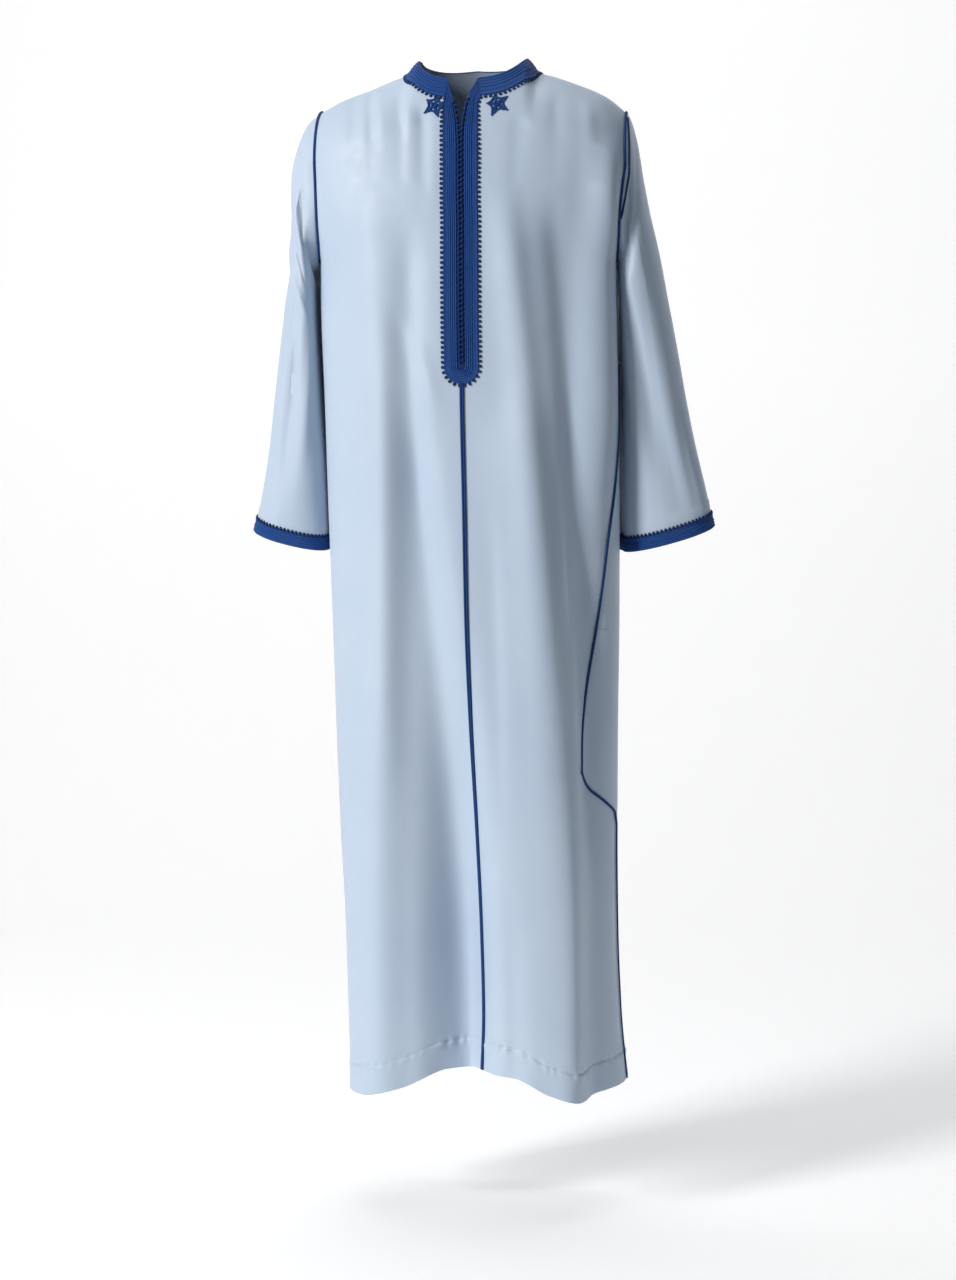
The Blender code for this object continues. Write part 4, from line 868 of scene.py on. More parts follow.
def tuck(side, around, ring):
    """How far a sleeve's inner back is drawn in towards the body's side, which it hangs against."""
    room = side * (ring[..., 0] - side_x(side, ring[..., 1], ring[..., 2])) - SLEEVE_CLEAR
    near = bell(np.degrees(around) - TUCK_TURN, TUCK_WIDTH)
    return np.maximum(0, room) * near * np.clip(ring[..., 1] / TUCK_START, 0, 1)


def to_last_row(points):
    """Distance from each point of a sleeve's grid down its column to the cuff's edge."""
    run = np.linalg.norm(np.diff(points, axis=0), axis=-1)
    return np.concatenate([np.cumsum(run[::-1], axis=0)[::-1], np.zeros((1, points.shape[1]))])


def sleeve_grid(side, edges):
    """Fine rings from the armhole to the cuff."""
    edge, edge_out = (np.concatenate([edges["front", side][k][::-1], edges["back", side][k][1:-1]])
                      for k in (0, 1))
    lowest = int(np.argmin(edge[:, 2]))
    middle = (edge[0, 2] + edge[lowest, 2]) / 2
    around = np.arccos(np.clip((edge[:, 2] - middle) / (edge[0, 2] - middle), -1, 1))
    around = np.where(np.arange(len(edge)) > lowest, 2 * math.pi - around, around)
    hole = (edge[0] + edge[lowest]) / 2
    table = SLEEVE_LEFT if side > 0 else SLEEVE_RIGHT
    count = len(table["front"])
    table = {"ring": np.arange(count, dtype=float), **table}
    rings = refine((0.0, 1.0, 2.0, 4.0), 0.1)
    rings = np.append(rings, refine((4.0, count - 1.4, count - 1.0), 0.085)[1:])
    row = {key: smooth(table, key, rings) for key in table}
    depth = (row["front"] + row["back"]) / 2
    outer = np.stack([row["outer_x"], depth, row["outer_z"]], -1)
    inner = np.stack([row["inner_x"], depth, row["inner_z"]], -1)
    centre = (outer + inner) / 2
    cos = power(np.cos(around), SLEEVE_SQUARE)[None, :, None]
    sin = power(np.sin(around), SLEEVE_SQUARE)[None, :]
    tube = centre[:, None, :] + (outer - centre)[:, None, :] * cos
    tube[..., 1] = depth[:, None] + (row["front"] - depth)[:, None] * sin
    tube[..., 0] -= side * tuck(side, around[None, :], tube)
    drop = np.clip((rings + 1 + SAG_RINGS - count) / SAG_RINGS, 0, 1)[:, None]
    tube[..., 2] -= CUFF_SAG * drop * np.maximum(0, np.sin(around))[None, :]
    share = ease(rings / SLEEVE_HEAD_RINGS)[:, None, None]
    head = edge[None] + ((centre - hole) * (1, 0, 1))[:, None, :]
    points = tube * share + head * (1 - share)
    points[0] = edge + np.array((side * ARMHOLE_GAP, 0, 0))
    guide = points - centre[:, None, :]
    out = grid_outward(points, guide, True)
    heights = sleeve_folds(side, np.degrees(around)[None, :], points[..., 2])
    heights = heights * np.clip(rings / 2, 0, 1)[:, None]
    above = to_last_row(points) - (CUFF_BAND + FACING_TOP + 0.002 * waver(around * 2, 3.0)[None, :])
    heights = heights + FACING_LINE * bell(above, 0.0016) + FACING_STEP * (1 - ease(above / 0.003))
    points = points + out * heights[..., None]
    out = grid_outward(points, guide, True)
    blend = ease((edge[:, 2] - UNDERARM) / SLEEVE_TURN_HEIGHT)[:, None]
    out[0] = unit(edge_out * blend + out[0] * (1 - blend))
    return points, out, around


# Materials

def add_node(nodes, kind, settings):
    """A node with its input values set by name."""
    return settle(nodes.new(kind), settings)


def settle(node, settings):
    """Set a node's input values by name."""
    for name, value in settings.items():
        node.inputs[name].default_value = value
    return node


def new_material(name, settings):
    """A material with its shader's own values set."""
    made = bpy.data.materials.new(name)
    made.use_nodes = True
    nodes = made.node_tree.nodes
    return made, nodes, made.node_tree.links, settle(nodes["Principled BSDF"], settings)


def mixed(nodes, links, factor, first, second):
    """A colour between two, by a factor; each colour is fixed values or another node's output."""
    mix = nodes.new("ShaderNodeMix")
    mix.data_type = "RGBA"
    links.new(factor, mix.inputs["Factor"])
    for name, colour in (("A", first), ("B", second)):
        if isinstance(colour, tuple):
            mix.inputs[name].default_value = (*colour, 1)
        else:
            links.new(colour, mix.inputs[name])
    return mix.outputs["Result"]


def ranged(nodes, links, value, low, high, to_low, to_high):
    """A value carried from one range to another, held at its ends."""
    node = add_node(nodes, "ShaderNodeMapRange", {"From Min": low, "From Max": high, "To Min": to_low,
                                                  "To Max": to_high})
    links.new(value, node.inputs["Value"])
    return node.outputs["Result"]


def bump(nodes, links, height, strength, distance, before=None):
    node = add_node(nodes, "ShaderNodeBump", {"Strength": strength, "Distance": distance})
    links.new(height, node.inputs["Height"])
    if before is not None:
        links.new(before, node.inputs["Normal"])
    return node.outputs["Normal"]


def noise(nodes, links, place, scale, detail, roughness):
    node = add_node(nodes, "ShaderNodeTexNoise", {"Scale": scale, "Detail": detail, "Roughness": roughness})
    links.new(place, node.inputs["Vector"])
    return node.outputs["Fac"]


def cloth_material():
    """Smooth pale crepe: soft sheen, a fine pebbled weave, and slight uneven tone and roughness."""
    made, nodes, links, shader = new_material("pale_crepe", {
        "Sheen Weight": 0.16, "Sheen Roughness": 0.5, "Sheen Tint": (0.80, 0.89, 1.0, 1),
        "Specular IOR Level": 0.35})
    place = nodes.new("ShaderNodeTexCoord").outputs["Object"]
    broad = noise(nodes, links, place, 4.0, 4.0, 0.55)
    crepe = noise(nodes, links, place, 1500.0, 2.0, 0.6)
    soft = noise(nodes, links, place, 11.0, 3.0, 0.4)
    slub = noise(nodes, links, place, 60.0, 2.0, 0.5)
    tone = mixed(nodes, links, ranged(nodes, links, broad, 0.3, 0.7, 0.0, 1.0),
                 (0.445, 0.540, 0.668), (0.498, 0.589, 0.706))
    grain = ranged(nodes, links, crepe, 0.25, 0.75, 0.0, 0.16)
    links.new(mixed(nodes, links, grain, tone, (0.34, 0.43, 0.56)), shader.inputs["Base Color"])
    links.new(ranged(nodes, links, slub, 0.3, 0.7, 0.46, 0.58), shader.inputs["Roughness"])
    low = bump(nodes, links, soft, 0.30, 0.006)
    links.new(bump(nodes, links, crepe, 0.30, 0.00022, low), shader.inputs["Normal"])
    return made


def thread_material(name, dark, light, threads):
    """Twisted thread: slanted fine lines across the strip, with painted shade between threads and in the
    grooves.
    The strip's first coordinate is 0 on a ridge's crest and 2 mm in its groove; the second is length."""
    made, nodes, links, shader = new_material(name + "_thread", {
        "Sheen Weight": 0.10, "Sheen Roughness": 0.35, "Sheen Tint": (0.12, 0.36, 1.0, 1),
        "Specular IOR Level": 0.22})
    place = nodes.new("ShaderNodeUVMap").outputs["UV"]
    wave = add_node(nodes, "ShaderNodeTexWave", {"Scale": threads, "Distortion": 1.5, "Detail": 1.0})
    wave.wave_type = "BANDS"
    wave.bands_direction = "DIAGONAL"
    links.new(place, wave.inputs["Vector"])
    parts = nodes.new("ShaderNodeSeparateXYZ")
    links.new(place, parts.inputs["Vector"])
    patch = noise(nodes, links, nodes.new("ShaderNodeTexCoord").outputs["Object"], 140.0, 3.0, 0.5)
    # Painted shade between threads: the tone darkens where the threads' bump is low
    amount = ranged(nodes, links, wave.outputs["Fac"], 0.0, 1.0, 0.45, 1.0)
    # The first factor is painted shade, darker from a ridge's crest into its groove; the second is patchy
    # tone
    for factor in (ranged(nodes, links, parts.outputs["X"], 0.0008, 0.0020, 1.0, 0.25),
                   ranged(nodes, links, patch, 0.3, 0.7, 0.65, 1.0)):
        product = nodes.new("ShaderNodeMath")
        product.operation = "MULTIPLY"
        links.new(amount, product.inputs[0])
        links.new(factor, product.inputs[1])
        amount = product.outputs["Value"]
    links.new(mixed(nodes, links, amount, dark, light), shader.inputs["Base Color"])
    links.new(ranged(nodes, links, patch, 0.3, 0.7, 0.42, 0.58), shader.inputs["Roughness"])
    links.new(bump(nodes, links, wave.outputs["Fac"], 0.7, 0.00028), shader.inputs["Normal"])
    return made


def make_materials():
    """Cloth, and each kind of thread with its dark and light tones and its threads for each metre."""
    made = {"cloth": cloth_material()}
    for name, dark, light, threads in THREADS:
        made[name] = thread_material(name, dark, light, threads)
    return made


def dress(thing, material, slot, *nodes):
    """Give a piece its material, tie it to the body, and hide the CAD nodes it stands for; slot is not used.
    """
    thing.data.materials.clear()
    thing.data.materials.append(material)
    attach(thing, "root")
    if nodes:
        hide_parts(*nodes)
    return thing


# Braid

def braid_profile(across, along, ridges):
    """Height over a flat braid and its thread coordinate: round ridges inside, a plaited part outside."""
    phase = np.clip(across / RIDGED_SHARE, 0, 1) * ridges
    local = phase - np.floor(np.minimum(phase, ridges - HAIR)) - 0.5
    hump = np.sqrt(np.clip(1 - (2 * local) ** 2, 0, 1))
    ply = np.sin(2 * np.pi * (along / PLY_PITCH + np.abs(local) * 1.2 + 0.5 * (np.floor(phase) % 2)))
    part = np.clip((across - RIDGED_SHARE) / (1 - RIDGED_SHARE), 0, 1)
    beyond = across > RIDGED_SHARE
    plait = np.abs(((part * 2) % 1) - 0.5)
    wave = np.sin(2 * np.pi * (along / PLAIT_PITCH + plait * 1.6))
    edge = np.sqrt(np.clip(1 - ((part - 0.86) / 0.14) ** 2, 0, 1))
    height = np.where(beyond, 0.0013 + 0.00030 * wave + 0.0006 * edge,
                      0.0011 + 0.0010 * hump + 0.00016 * ply * hump)
    rim = np.clip(np.minimum(across, 1 - across) / 0.03, 0, 1)
    # The second value also sets painted shade: 0 on a ridge's crest, darker into its groove and between the
    # plait's strands
    return height * (0.35 + 0.65 * np.sqrt(rim)), np.where(beyond, plait, np.abs(local))


def make_neck_braid():
    """One ridged braid round the neck, down one side of the slit, round its end and up the other."""
    across = np.concatenate([np.linspace(0, 0.6, 29), np.linspace(0.615, 1.0, 16)])
    halves = {side: half_braid(side, across) for name, side in SIDES}
    base, outward, edge, edge_out = (np.concatenate([halves[-1][k], halves[1][k][::-1][1:-1]])
                                     for k in range(4))
    along = arc_length(base[:, len(across) // 2])[:, None] + 0 * across[None, :]
    heights, fold = braid_profile(across[None, :] + 0 * along, along, 4)
    inward = unit(base[:, 0] - base[:, 3])
    tape = np.stack([edge + inward * 0.0006, edge + inward * 0.0007, base[:, 0] + inward * 0.0001], 1)
    tape_out = np.stack([edge_out, edge_out, outward[:, 0]], 1)
    tape_heights = np.array((-0.0016, 0.0004, 0.0005)) + 0 * along[:, :3]
    everything = np.concatenate([tape, base], axis=1)
    directions = np.concatenate([tape_out, outward], axis=1)
    levels = np.concatenate([tape_heights, heights], axis=1)
    # The turned-in tape takes the groove's value, so it gets the full painted shade under the braid's inner
    # edge
    folds = np.concatenate([0.5 + 0 * tape_heights, fold], axis=1)
    uv = np.stack([folds * 0.004, np.concatenate([along[:, :3], along], axis=1)], -1)
    return strip("neck_braid", everything, directions, levels, uv, True), base, outward


def half_braid(side, across):
    """Points and directions under one half of the braid: back of the neck, front, slit and its end.
    Also the cloth's own edge beside it, which the braid's turned-in tape covers."""
    around = np.linspace(180.0, 8.5, 170)[:, None]
    reach = (NECK_HALF_WIDTH + (COLLAR_HALF_WIDTH - NECK_HALF_WIDTH) * across)[None, :]
    s = np.sin(np.radians(around)) ** NECK_SQUARE
    c = np.abs(np.cos(np.radians(around))) ** NECK_SQUARE
    inner = np.where(around < 90, NECK_FRONT_TURN, NECK_BACK_TURN)
    outer = np.where(around < 90, COLLAR_FRONT_TURN, COLLAR_BACK_TURN)
    x = side * s * reach
    over = 90 - c * (inner + (outer - inner) * across[None, :])
    x = x + float(centre_x(NECK_LEVEL)) * np.clip(1 - np.abs(x) / NECK_HALF_WIDTH, 0, 1)
    front = around[:, 0] < 90
    base = np.zeros(x.shape + (3,))
    outward = np.zeros(x.shape + (3,))
    for face, rows in ((-1, front), (1, ~front)):
        base[rows], outward[rows] = rib_points(side, face, x[rows], over[rows])
    slit_x, slit_z, edge_x = slit_places(side, across, base[-1])
    slit, slit_out = front_points(slit_x, slit_z)
    edge, edge_out = front_points(edge_x, slit_z[:, 0])
    edge = np.concatenate([base[:, 0], edge])
    edge_out = np.concatenate([outward[:, 0], edge_out])
    corner = len(base)
    base = np.concatenate([base, slit])
    outward = np.concatenate([outward, slit_out])
    index = even_steps(base[:, len(across) // 2], BRAID_STEP)
    base, outward, edge, edge_out = (at_index(values, index) for values in (base, outward, edge, edge_out))
    corner = int(np.argmin(np.abs(index - corner)))
    base, outward = round_corner(base, outward, across, corner)
    meets = np.linalg.norm(edge - base[:, 0], axis=-1) < 0.0018
    meets |= np.arange(len(edge)) < corner + 16
    edge[meets] = base[meets, 0]
    edge_out[meets] = outward[meets, 0]
    return base, unit(outward), edge, unit(edge_out)


def round_corner(base, outward, across, corner):
    """Ease the braid's lines round the corner of neck and slit, more for the inner ones."""
    window = 34
    first, last = corner - window, corner + window + 1
    part = base[first:last]
    offsets = np.arange(-window, window + 1)
    eased = part.copy()
    for j, a in enumerate(across):
        weights = np.exp(-0.5 * ((offsets[:, None] - offsets[None, :]) / (3.6 * (1 - 0.75 * a))) ** 2)
        eased[:, j] = weights / weights.sum(axis=1, keepdims=True) @ part[:, j]
    share = ease((window - np.abs(offsets)) / 12)[:, None, None]
    eased = part * (1 - share) + eased * share
    placed, placed_out = front_points(eased[..., 0], eased[..., 2])
    base[first:last] = part * (1 - share) + placed * share
    outward[first:last] = outward[first:last] * (1 - share) + placed_out * share
    return base, outward


def knot_room(z):
    """Width between the slit's edge and the braid, where the knots sit."""
    return (PLACKET_INNER - SLIT_HALF_GAP) * ease((-0.040 - z) / 0.022)


def slit_places(side, across, corner):
    """x and z of the braid's places down the slit and round half of its end, and the slit edge's x."""
    steps = np.linspace(0, 1, 40)[1:]
    down = np.linspace(PLACKET_TOP, PLACKET_END, 160)[1:]
    below = down - PLACKET_SLANT * (1 - (down - PLACKET_TOP) / (PLACKET_END - PLACKET_TOP))
    inner_z = np.concatenate([corner[0, 2] + (PLACKET_TOP - corner[0, 2]) * steps, down])
    outer_top = PLACKET_TOP - PLACKET_SLANT
    outer_z = np.concatenate([corner[-1, 2] + (outer_top - corner[-1, 2]) * steps, below])
    a = across[None, :]
    z = inner_z[:, None] * (1 - a) + outer_z[:, None] * a
    inner_x = v_gap(inner_z) + knot_room(inner_z)
    first = np.clip(np.arange(len(inner_z)) / 10, 0, 1)
    inner_x = inner_x * first + np.abs(corner[0, 0] - centre_x(corner[0, 2])) * (1 - first)
    outer_x = PLACKET_OUTER * first + np.abs(corner[-1, 0] - centre_x(corner[-1, 2])) * (1 - first)
    x = centre_x(z) + side * (inner_x[:, None] + (outer_x - inner_x)[:, None] * a)
    edge_x = centre_x(inner_z) + side * (inner_x - knot_room(inner_z) - 0.0003 * (inner_z < -0.1))
    turn = np.linspace(0, math.pi / 2, 26)[1:]
    bend = PLACKET_INNER + (PLACKET_OUTER - PLACKET_INNER) * a
    low_z = PLACKET_END - bend * np.sin(turn)[:, None]
    low_x = centre_x(low_z) + side * bend * np.cos(turn)[:, None]
    low_edge = centre_x(low_z[:, 0]) + side * 0.0001
    return np.concatenate([x, low_x]), np.concatenate([z, low_z]), np.concatenate([edge_x, low_edge])


def close_ring(values, column):
    return np.concatenate([values[:, column], values[:1, column]])


def picots(name, base, outward, inside, pitch, sizes, taper, square):
    """A row of small knots just beyond a braid's outer edge; inside is a column that lies further in."""
    edge = close_ring(base, -1)
    index = even_steps(edge, pitch)[:-1]
    place = at_index(edge, index)
    ahead = unit(place - at_index(close_ring(base, inside), index))
    out = unit(at_index(close_ring(outward, -1), index))
    uneven = waver(np.arange(len(place)) * 2.1, 4.0)
    turned = ahead + direction(ahead, out) * (0.10 * waver(np.arange(len(place)) * 1.3, 6.0))[:, None]
    length, width = sizes
    centre = place + ahead * (length * PICOT_REACH) + out * PICOT_LIFT
    sizes = (length * (1 + 0.07 * uneven), width * (1 - 0.06 * uneven), PICOT_HEIGHT)
    return make_object(name, *beads(centre, out, unit(turned), sizes, taper=taper, square=square))


def make_cuff(name, points, outward):
    """The ridged braid round a sleeve's end, with picots along its upper edge."""
    to_end = to_last_row(points)
    across = np.linspace(-0.03, 1.0, 34)
    cols = points.shape[1]
    base = np.zeros((cols, len(across), 3))
    out = np.zeros((cols, len(across), 3))
    for j in range(cols):
        rows = np.interp(-np.maximum(across, 0) * CUFF_BAND, -to_end[:, j], np.arange(points.shape[0]))
        base[j] = at_index(points[:, j], rows)
        out[j] = at_index(outward[:, j], rows)
    base[:, 0] += unit(points[-1] - points[-2]) * 0.0006
    base, out = (np.concatenate([values, values[:1]]) for values in (base, out))
    index = even_steps(base[:, len(across) // 2], BRAID_STEP)[:-1]
    base = at_index(base, index)
    out = unit(at_index(out, index))
    along = arc_length(base[:, len(across) // 2])[:, None] + 0 * across[None, :]
    heights, fold = braid_profile(np.clip(across, 0, 1)[None, :] + 0 * along, along, 3)
    band = strip("cuff_braid_" + name, base, out, heights, np.stack([fold * 0.004, along], -1), True)
    return band, picots("cuff_picots_" + name, base, out, -6, CUFF_PICOT_PITCH, CUFF_PICOT, 0.50, 1.0)


# Knots, stars, cords and stitches

def make_knots(name, side):
    """The wound knots along one edge of the slit."""
    z = np.arange(KNOTS_TOP, KNOTS_BOTTOM, -KNOT_PITCH)
    z = z + (0.5 * KNOT_PITCH if side > 0 else 0.0)
    place, out = front_points(centre_x(z) + side * (v_gap(z) - SLIT_HALF_GAP + KNOT_INSET), z)
    ahead = np.array((0, 0, 1.0)) + 0 * place
    ahead = unit(ahead - out * np.sum(ahead * out, axis=-1, keepdims=True))
    knots = beads(place + out * KNOT_LIFT, out, ahead, KNOT_SIZES, rings=9, sides=12)
    return make_object("slit_knots_" + name + "_wound", *knots)


def make_star(name, middle, tips):
    """An embroidered five-pointed star: a thick edge, rounds of satin stitch inside it, and small
    openings between its spokes. Tips beside the braid are short and run into its knots."""
    x, z = middle
    turns = []
    edge = []
    for (turn, radius), (following_turn, following) in zip(tips, tips[1:] + tips[:1]):
        for part in np.linspace(0, 1, 18, endpoint=False):
            turns.append(turn + (following_turn - turn) % 360 * part)
            tip = radius + (following - radius) * part
            edge.append(STAR_WAIST + (tip - STAR_WAIST) * abs(1 - 2 * part) ** 2.4)
    turns = np.radians(np.array(turns))
    edge = np.array(edge)

    def ring_at(radii, angles, lift):
        place, out = front_points(x + radii * np.cos(angles), z + radii * np.sin(angles))
        return place + out * np.asarray(lift)[..., None], out
    shares = np.linspace(0, 1, 22)
    spokes = np.abs(np.sin(2.5 * (turns - math.radians(tips[0][0]))))
    rows = []
    for share in shares:
        hole = 0.0040 * bell(share - 0.66, 0.13) * np.clip(spokes - 0.55, 0, 1)
        stitch = 0.00034 * np.cos(2 * np.pi * share * STAR_ROUNDS)
        rise = 0.0013 + 0.0006 * bell(share, 0.18) + stitch - hole
        rows.append(ring_at(share * edge * 0.97, turns, rise * (1 - 0.8 * share ** 14))[0])
    faces = grid_faces(len(shares), len(turns), True)[:, ::-1]
    uv = stacked((0.0018 * np.abs(((shares * STAR_ROUNDS) % 1) - 0.5)[:, None] * 2,
                  (shares[:, None] * 0.5 + turns[None, :]) * 0.006))
    angles = np.radians([turn for turn, _ in tips])
    ends, out = ring_at(np.array([radius for _, radius in tips]), angles, 0.0010)
    hub = front_points(np.array([x]), np.array([z]))[0]
    parts = [(np.array(rows).reshape(-1, 3), faces, uv.reshape(-1, 2)),
             closed_tube(*ring_at(edge, turns, 0.0009), 0.0010, 8),
             closed_tube(*ring_at(0.0030 + 0 * turns[::3], turns[::3], 0.0020), 0.0007, 7),
             beads(ends, out, unit(ends - hub), STAR_TIP_SIZES)]
    starts = np.cumsum([0] + [len(points) for points, _, _ in parts])
    faces = [tuple(start + c for c in f) for start, part in zip(starts, parts) for f in part[1]]
    points, uv = (np.concatenate([part[k] for part in parts]) for k in (0, 2))
    return make_object("star_" + name + "_stitched", points, faces, uv)


def soutache(name, path, outs, size):
    """A flat cord of two plaited strands side by side, with a groove between them."""
    width, height = size
    index = even_steps(path, CORD_STATION)
    path = at_index(path, index)
    outs = unit(at_index(outs, index))
    across = direction(np.gradient(path, axis=0), outs)
    places = np.linspace(-0.5, 0.5, 15)
    along = arc_length(path)[:, None] + 0 * places[None, :]
    base = path[:, None, :] + across[:, None, :] * (places[None, :, None] * width)
    hump = np.sqrt(np.clip(1 - (np.abs(places) * 4 - 1) ** 2, 0, 1))[None, :]
    plait = 0.07 * np.sin(2 * np.pi * (along / CORD_PLAIT - np.abs(places)[None, :] * 1.5))
    level = CORD_LIFT + height * (0.30 + 0.70 * hump + plait * hump)
    level[:, [0, -1]] = CORD_LIFT
    # The first coordinate grows from the middle to the edges, so the thread material paints shade where the
    # cord's sides turn down to the cloth
    uv = stacked((np.abs(places)[None, :] * width, along))
    return strip(name, base, outs[:, None, :] + 0 * base, level, uv)


def make_centre_cord():
    low = float(hem_height(1, 0.0)) + CORD_SHORT
    z = np.concatenate([refine((CENTRE_CORD_TOP, -1.30), CORD_STEP), np.linspace(-1.303, low, 40)])
    path, outs = front_points(centre_x(z), z)
    return soutache("centre_cord_plaited", path, outs, CENTRE_CORD)


def make_armhole_cord(name, side, edges):
    halves = []
    for face in ("front", "back"):
        points, outward = edges[face, side]
        kept = points[:, 2] > ARMHOLE_CORD_FOOT
        halves.append((points[kept], outward[kept]))
    path, out = (np.concatenate([front, back[::-1][1:]]) for front, back in zip(*halves))
    across = direction(np.gradient(path, axis=0), out)
    inwards = np.sum(across * np.array((-side, 0, 0)), axis=-1, keepdims=True)
    across = across * np.where(inwards < 0, -1, 1)
    return soutache("armhole_cord_" + name + "_plaited", path + across * ARMHOLE_CORD_INSET, out, SIDE_CORD)


def second_cord(points, outward, around):
    """The short second cord on the wearer's left sleeve head, which leaves the armhole and meets it again."""
    path = []
    outs = []
    for j in np.flatnonzero((around > 0) & (around < math.pi)):
        share = (SECOND_CORD_TOP - points[0, j, 2]) / SECOND_CORD_LENGTH
        if 0 <= share <= 1:
            run = arc_length(points[:, j])
            row = np.interp([SECOND_CORD_AWAY * math.sin(math.pi * share) ** 0.8], run, np.arange(len(run)))
            path.append(at_index(points[:, j], row)[0])
            outs.append(at_index(outward[:, j], row)[0])
    return soutache("armhole_second_cord_left", np.array(path), np.array(outs), SECOND_CORD)


def front_edge(side, z):
    """Points just inside a front panel's outer edge, measured round the section."""
    turn = side_turn(side, -1, z)
    edge = section_points(side, turn, z)[0]
    near = section_points(side, turn - 1.0, z)[0]
    per_degree = np.linalg.norm(edge - near, axis=-1)
    return section_points(side, turn - CORD_INSET / np.maximum(per_degree, half_width(side, z) * 0.004), z)


def make_side_cords(name, side):
    """The cord down a side opening, and the cord from its end to the hem."""
    cords = []
    low = float(hem_height(side, 87.0)) + CORD_SHORT
    for part, heights in (("upper", (SIDE_CORD_TOP, GORE_CORNER)),
                          ("lower", (GORE_CORNER, -0.997, -1.012, -1.026, -1.045, low))):
        path, out = front_edge(side, refine(heights, CORD_STEP))
        cords.append(soutache("side_cord_" + part + "_" + name, path, out, SIDE_CORD))
    return cords


def hem_stitches():
    """Small single stitches that hold the turned-up hem, and a tack across the top of each side opening.
    Along the hem their pale thread is partly a painted highlight, standing for the light on each pucker.
    """
    rows = []
    for side in (-1, 1):
        turn = np.arange(2.0, 179.0, 4.1)
        turn = turn + 0.8 * waver(turn * 0.5, 5.0 + side)
        z = hem_height(side, turn) + TURN_UP
        place, out = section_points(side, turn, z)
        ahead = section_points(side, turn + 0.4, z)[0] - place
        relief = hem_relief(side, turn, np.full(len(turn), TURN_UP))
        rows.append((place + out * (relief[:, None] + 0.0001), out, unit(ahead)))
        turn = gore_edge(side, "front", TACK_LEVEL) + np.linspace(1.5, 7.0, 12)
        place, out = section_points(side, turn, TACK_LEVEL + 0 * turn)
        rows.append((place + out * 0.0003, out, unit(np.gradient(place, axis=0))))
    place, out, ahead = (np.concatenate(values) for values in zip(*rows))
    return make_object("hem_stitches", *beads(place, out, ahead, STITCH_SIZES, rings=5, sides=6))


# Studio

def make_backdrop():
    """A pale floor that curves up behind."""
    depth = [-1.5, -0.8, 0.0, 1.2, 2.2]
    rise = [FLOOR] * 5
    for turn in np.linspace(0, math.pi / 2, 13)[1:]:
        depth.append(2.2 + 1.4 * math.sin(turn))
        rise.append(FLOOR + 1.4 * (1 - math.cos(turn)))
    depth.append(3.6)
    rise.append(5.0)
    points = np.array([(x, y, z) for y, z in zip(depth, rise) for x in (-6.0, 0.0, 6.0)])
    thing = make_object("backdrop", points, grid_faces(len(depth), 3))
    made = new_material("pale_paper", {
        "Base Color": (0.86, 0.86, 0.865, 1), "Roughness": 0.95, "Specular IOR Level": 0.1,
        "Emission Color": (1.0, 0.995, 0.99, 1), "Emission Strength": 0.26})[0]
    thing.data.materials.append(made)


def make_light(name, place, target, size, energy, colour):
    lamp = bpy.data.lights.new(name, "AREA")
    lamp.shape = "RECTANGLE"
    lamp.size, lamp.size_y = size
    lamp.energy = energy
    lamp.color = colour
    thing = add_object(name, lamp)
    thing.location = place
    thing.rotation_euler = (Vector(target) - Vector(place)).to_track_quat("-Z", "Y").to_euler()


def make_lights():
    """A large soft key from the robe's right, a weak fill, and two lamps that keep the paper white."""
    middle = (0, 0, -0.7)
    make_light("key", (-2.90, -2.98, 0.90), middle, (1.0, 2.1), 197, (1.0, 0.985, 0.965))
    make_light("fill", (3.9, -2.3, 0.2), middle, (2.4, 2.4), 13, (0.94, 0.97, 1.0))
    make_light("top", (0.0, -0.6, 3.2), middle, (2.0, 2.0), 20, (1.0, 1.0, 1.0))
    make_light("paper", (0.0, 1.0, 3.4), (0.0, 3.2, -0.6), (4.0, 1.0), 55, (1.0, 1.0, 1.0))
    world = bpy.data.worlds.new("studio")
    world.use_nodes = True
    settle(world.node_tree.nodes["Background"], {"Color": (0.74, 0.86, 1.0, 1), "Strength": 0.07})
    bpy.context.scene.world = world
    bpy.context.scene.view_settings.view_transform = "Standard"


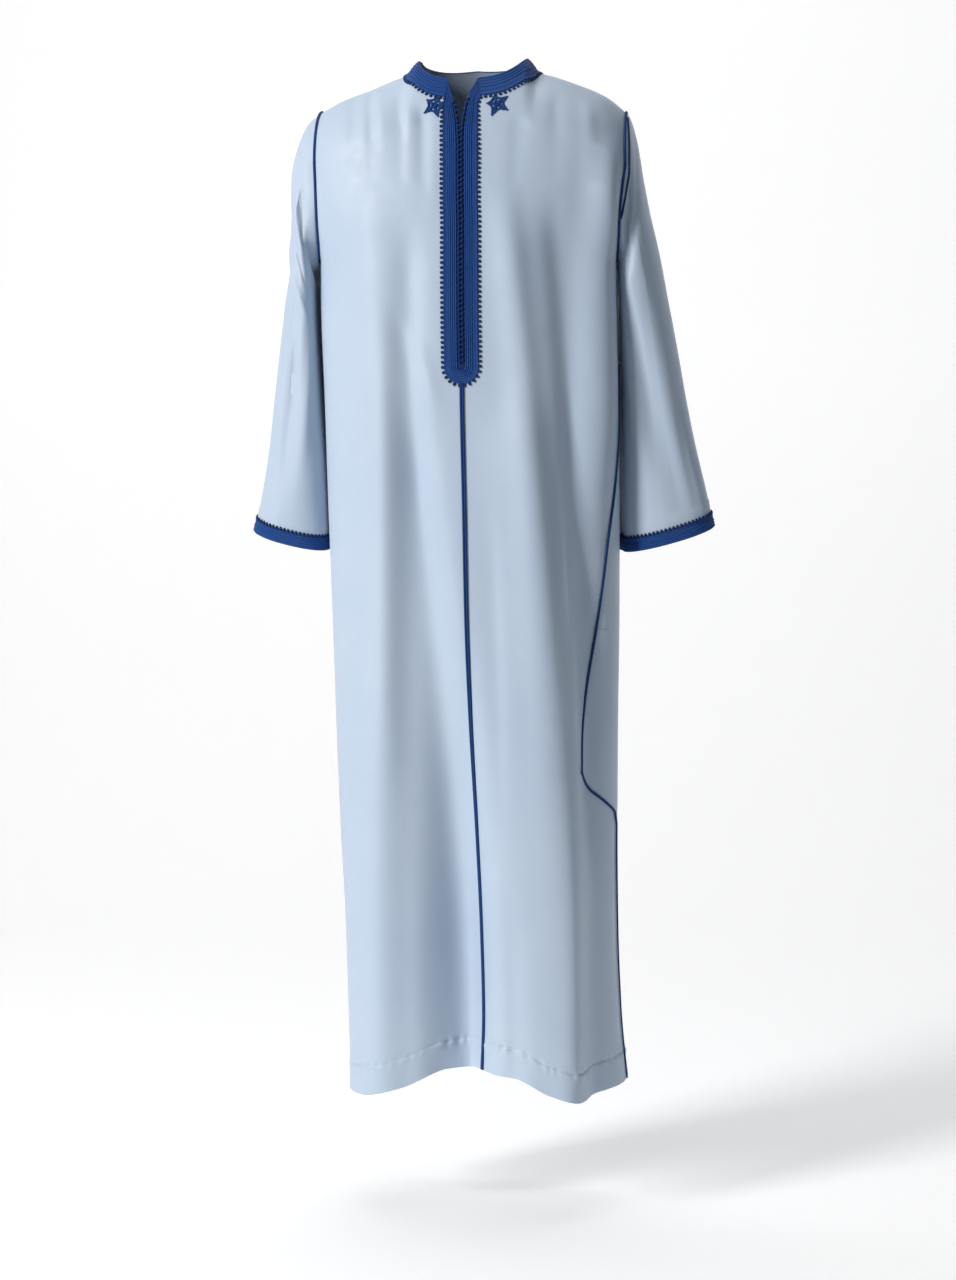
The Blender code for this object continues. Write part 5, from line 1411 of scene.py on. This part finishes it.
def make_camera():
    """The photograph's view: 3.6 m away at hip height, a little to the robe's left."""
    distance = 3.6
    azimuth, pitch, yaw = (math.radians(turn) for turn in (5.5, 3.0, -0.089))
    camera = bpy.data.cameras.new("camera")
    camera.sensor_fit = "VERTICAL"
    camera.sensor_height = 24.0
    camera.lens = 48.0
    thing = add_object("camera", camera)
    thing.location = (distance * math.sin(azimuth), -distance * math.cos(azimuth), -0.60)
    thing.rotation_euler = (math.pi / 2 - pitch, 0, azimuth + yaw)
    bpy.context.scene.camera = thing


def main():
    make_camera()
    make_backdrop()
    make_lights()
    materials = make_materials()
    cloth, edges = make_cloth()
    for node, thing in cloth.items():
        dress(thing, materials["cloth"], "cloth", node)
    for name, side in SIDES:
        points, outward, around = sleeve_grid(side, edges)
        sleeve = shell("cloth_sleeve_" + name, points, outward, True)
        cloth["sleeve_" + name] = dress(sleeve, materials["cloth"], "cloth", "sleeve_" + name)
        band, knots = make_cuff(name, points, outward)
        dress(band, materials["braid"], "braid", "cuff_band_" + name)
        dress(knots, materials["knot"], "braid")
        dress(make_knots(name, side), materials["knot"], "braid", "slit_knots_" + name)
        if side > 0:
            dress(second_cord(points, outward, around), materials["cord"], "cord")
        dress(make_armhole_cord(name, side, edges), materials["cord"], "cord", "armhole_cord_" + name)
        upper, lower = make_side_cords(name, side)
        dress(upper, materials["cord"], "cord", "side_opening_cord_" + name)
        dress(lower, materials["cord"], "cord", "side_seam_cord_" + name)
    braid, base, outward = make_neck_braid()
    dress(braid, materials["braid"], "braid", "collar_band", "placket_braid")
    neck_knots = picots("neck_picots", base, outward, -8, PICOT_PITCH, NECK_PICOT, 0.0, 0.8)
    dress(neck_knots, materials["knot"], "braid")
    for name, middle, tips in (("right", STAR_RIGHT, STAR_TIPS_RIGHT), ("left", STAR_LEFT, STAR_TIPS_LEFT)):
        star = dress(make_star(name, middle, tips), materials["cord"], "cord", "star_" + name)
    dress(make_centre_cord(), materials["cord"], "cord", "centre_cord")
    dress(hem_stitches(), materials["stitch"], "cloth")


main()
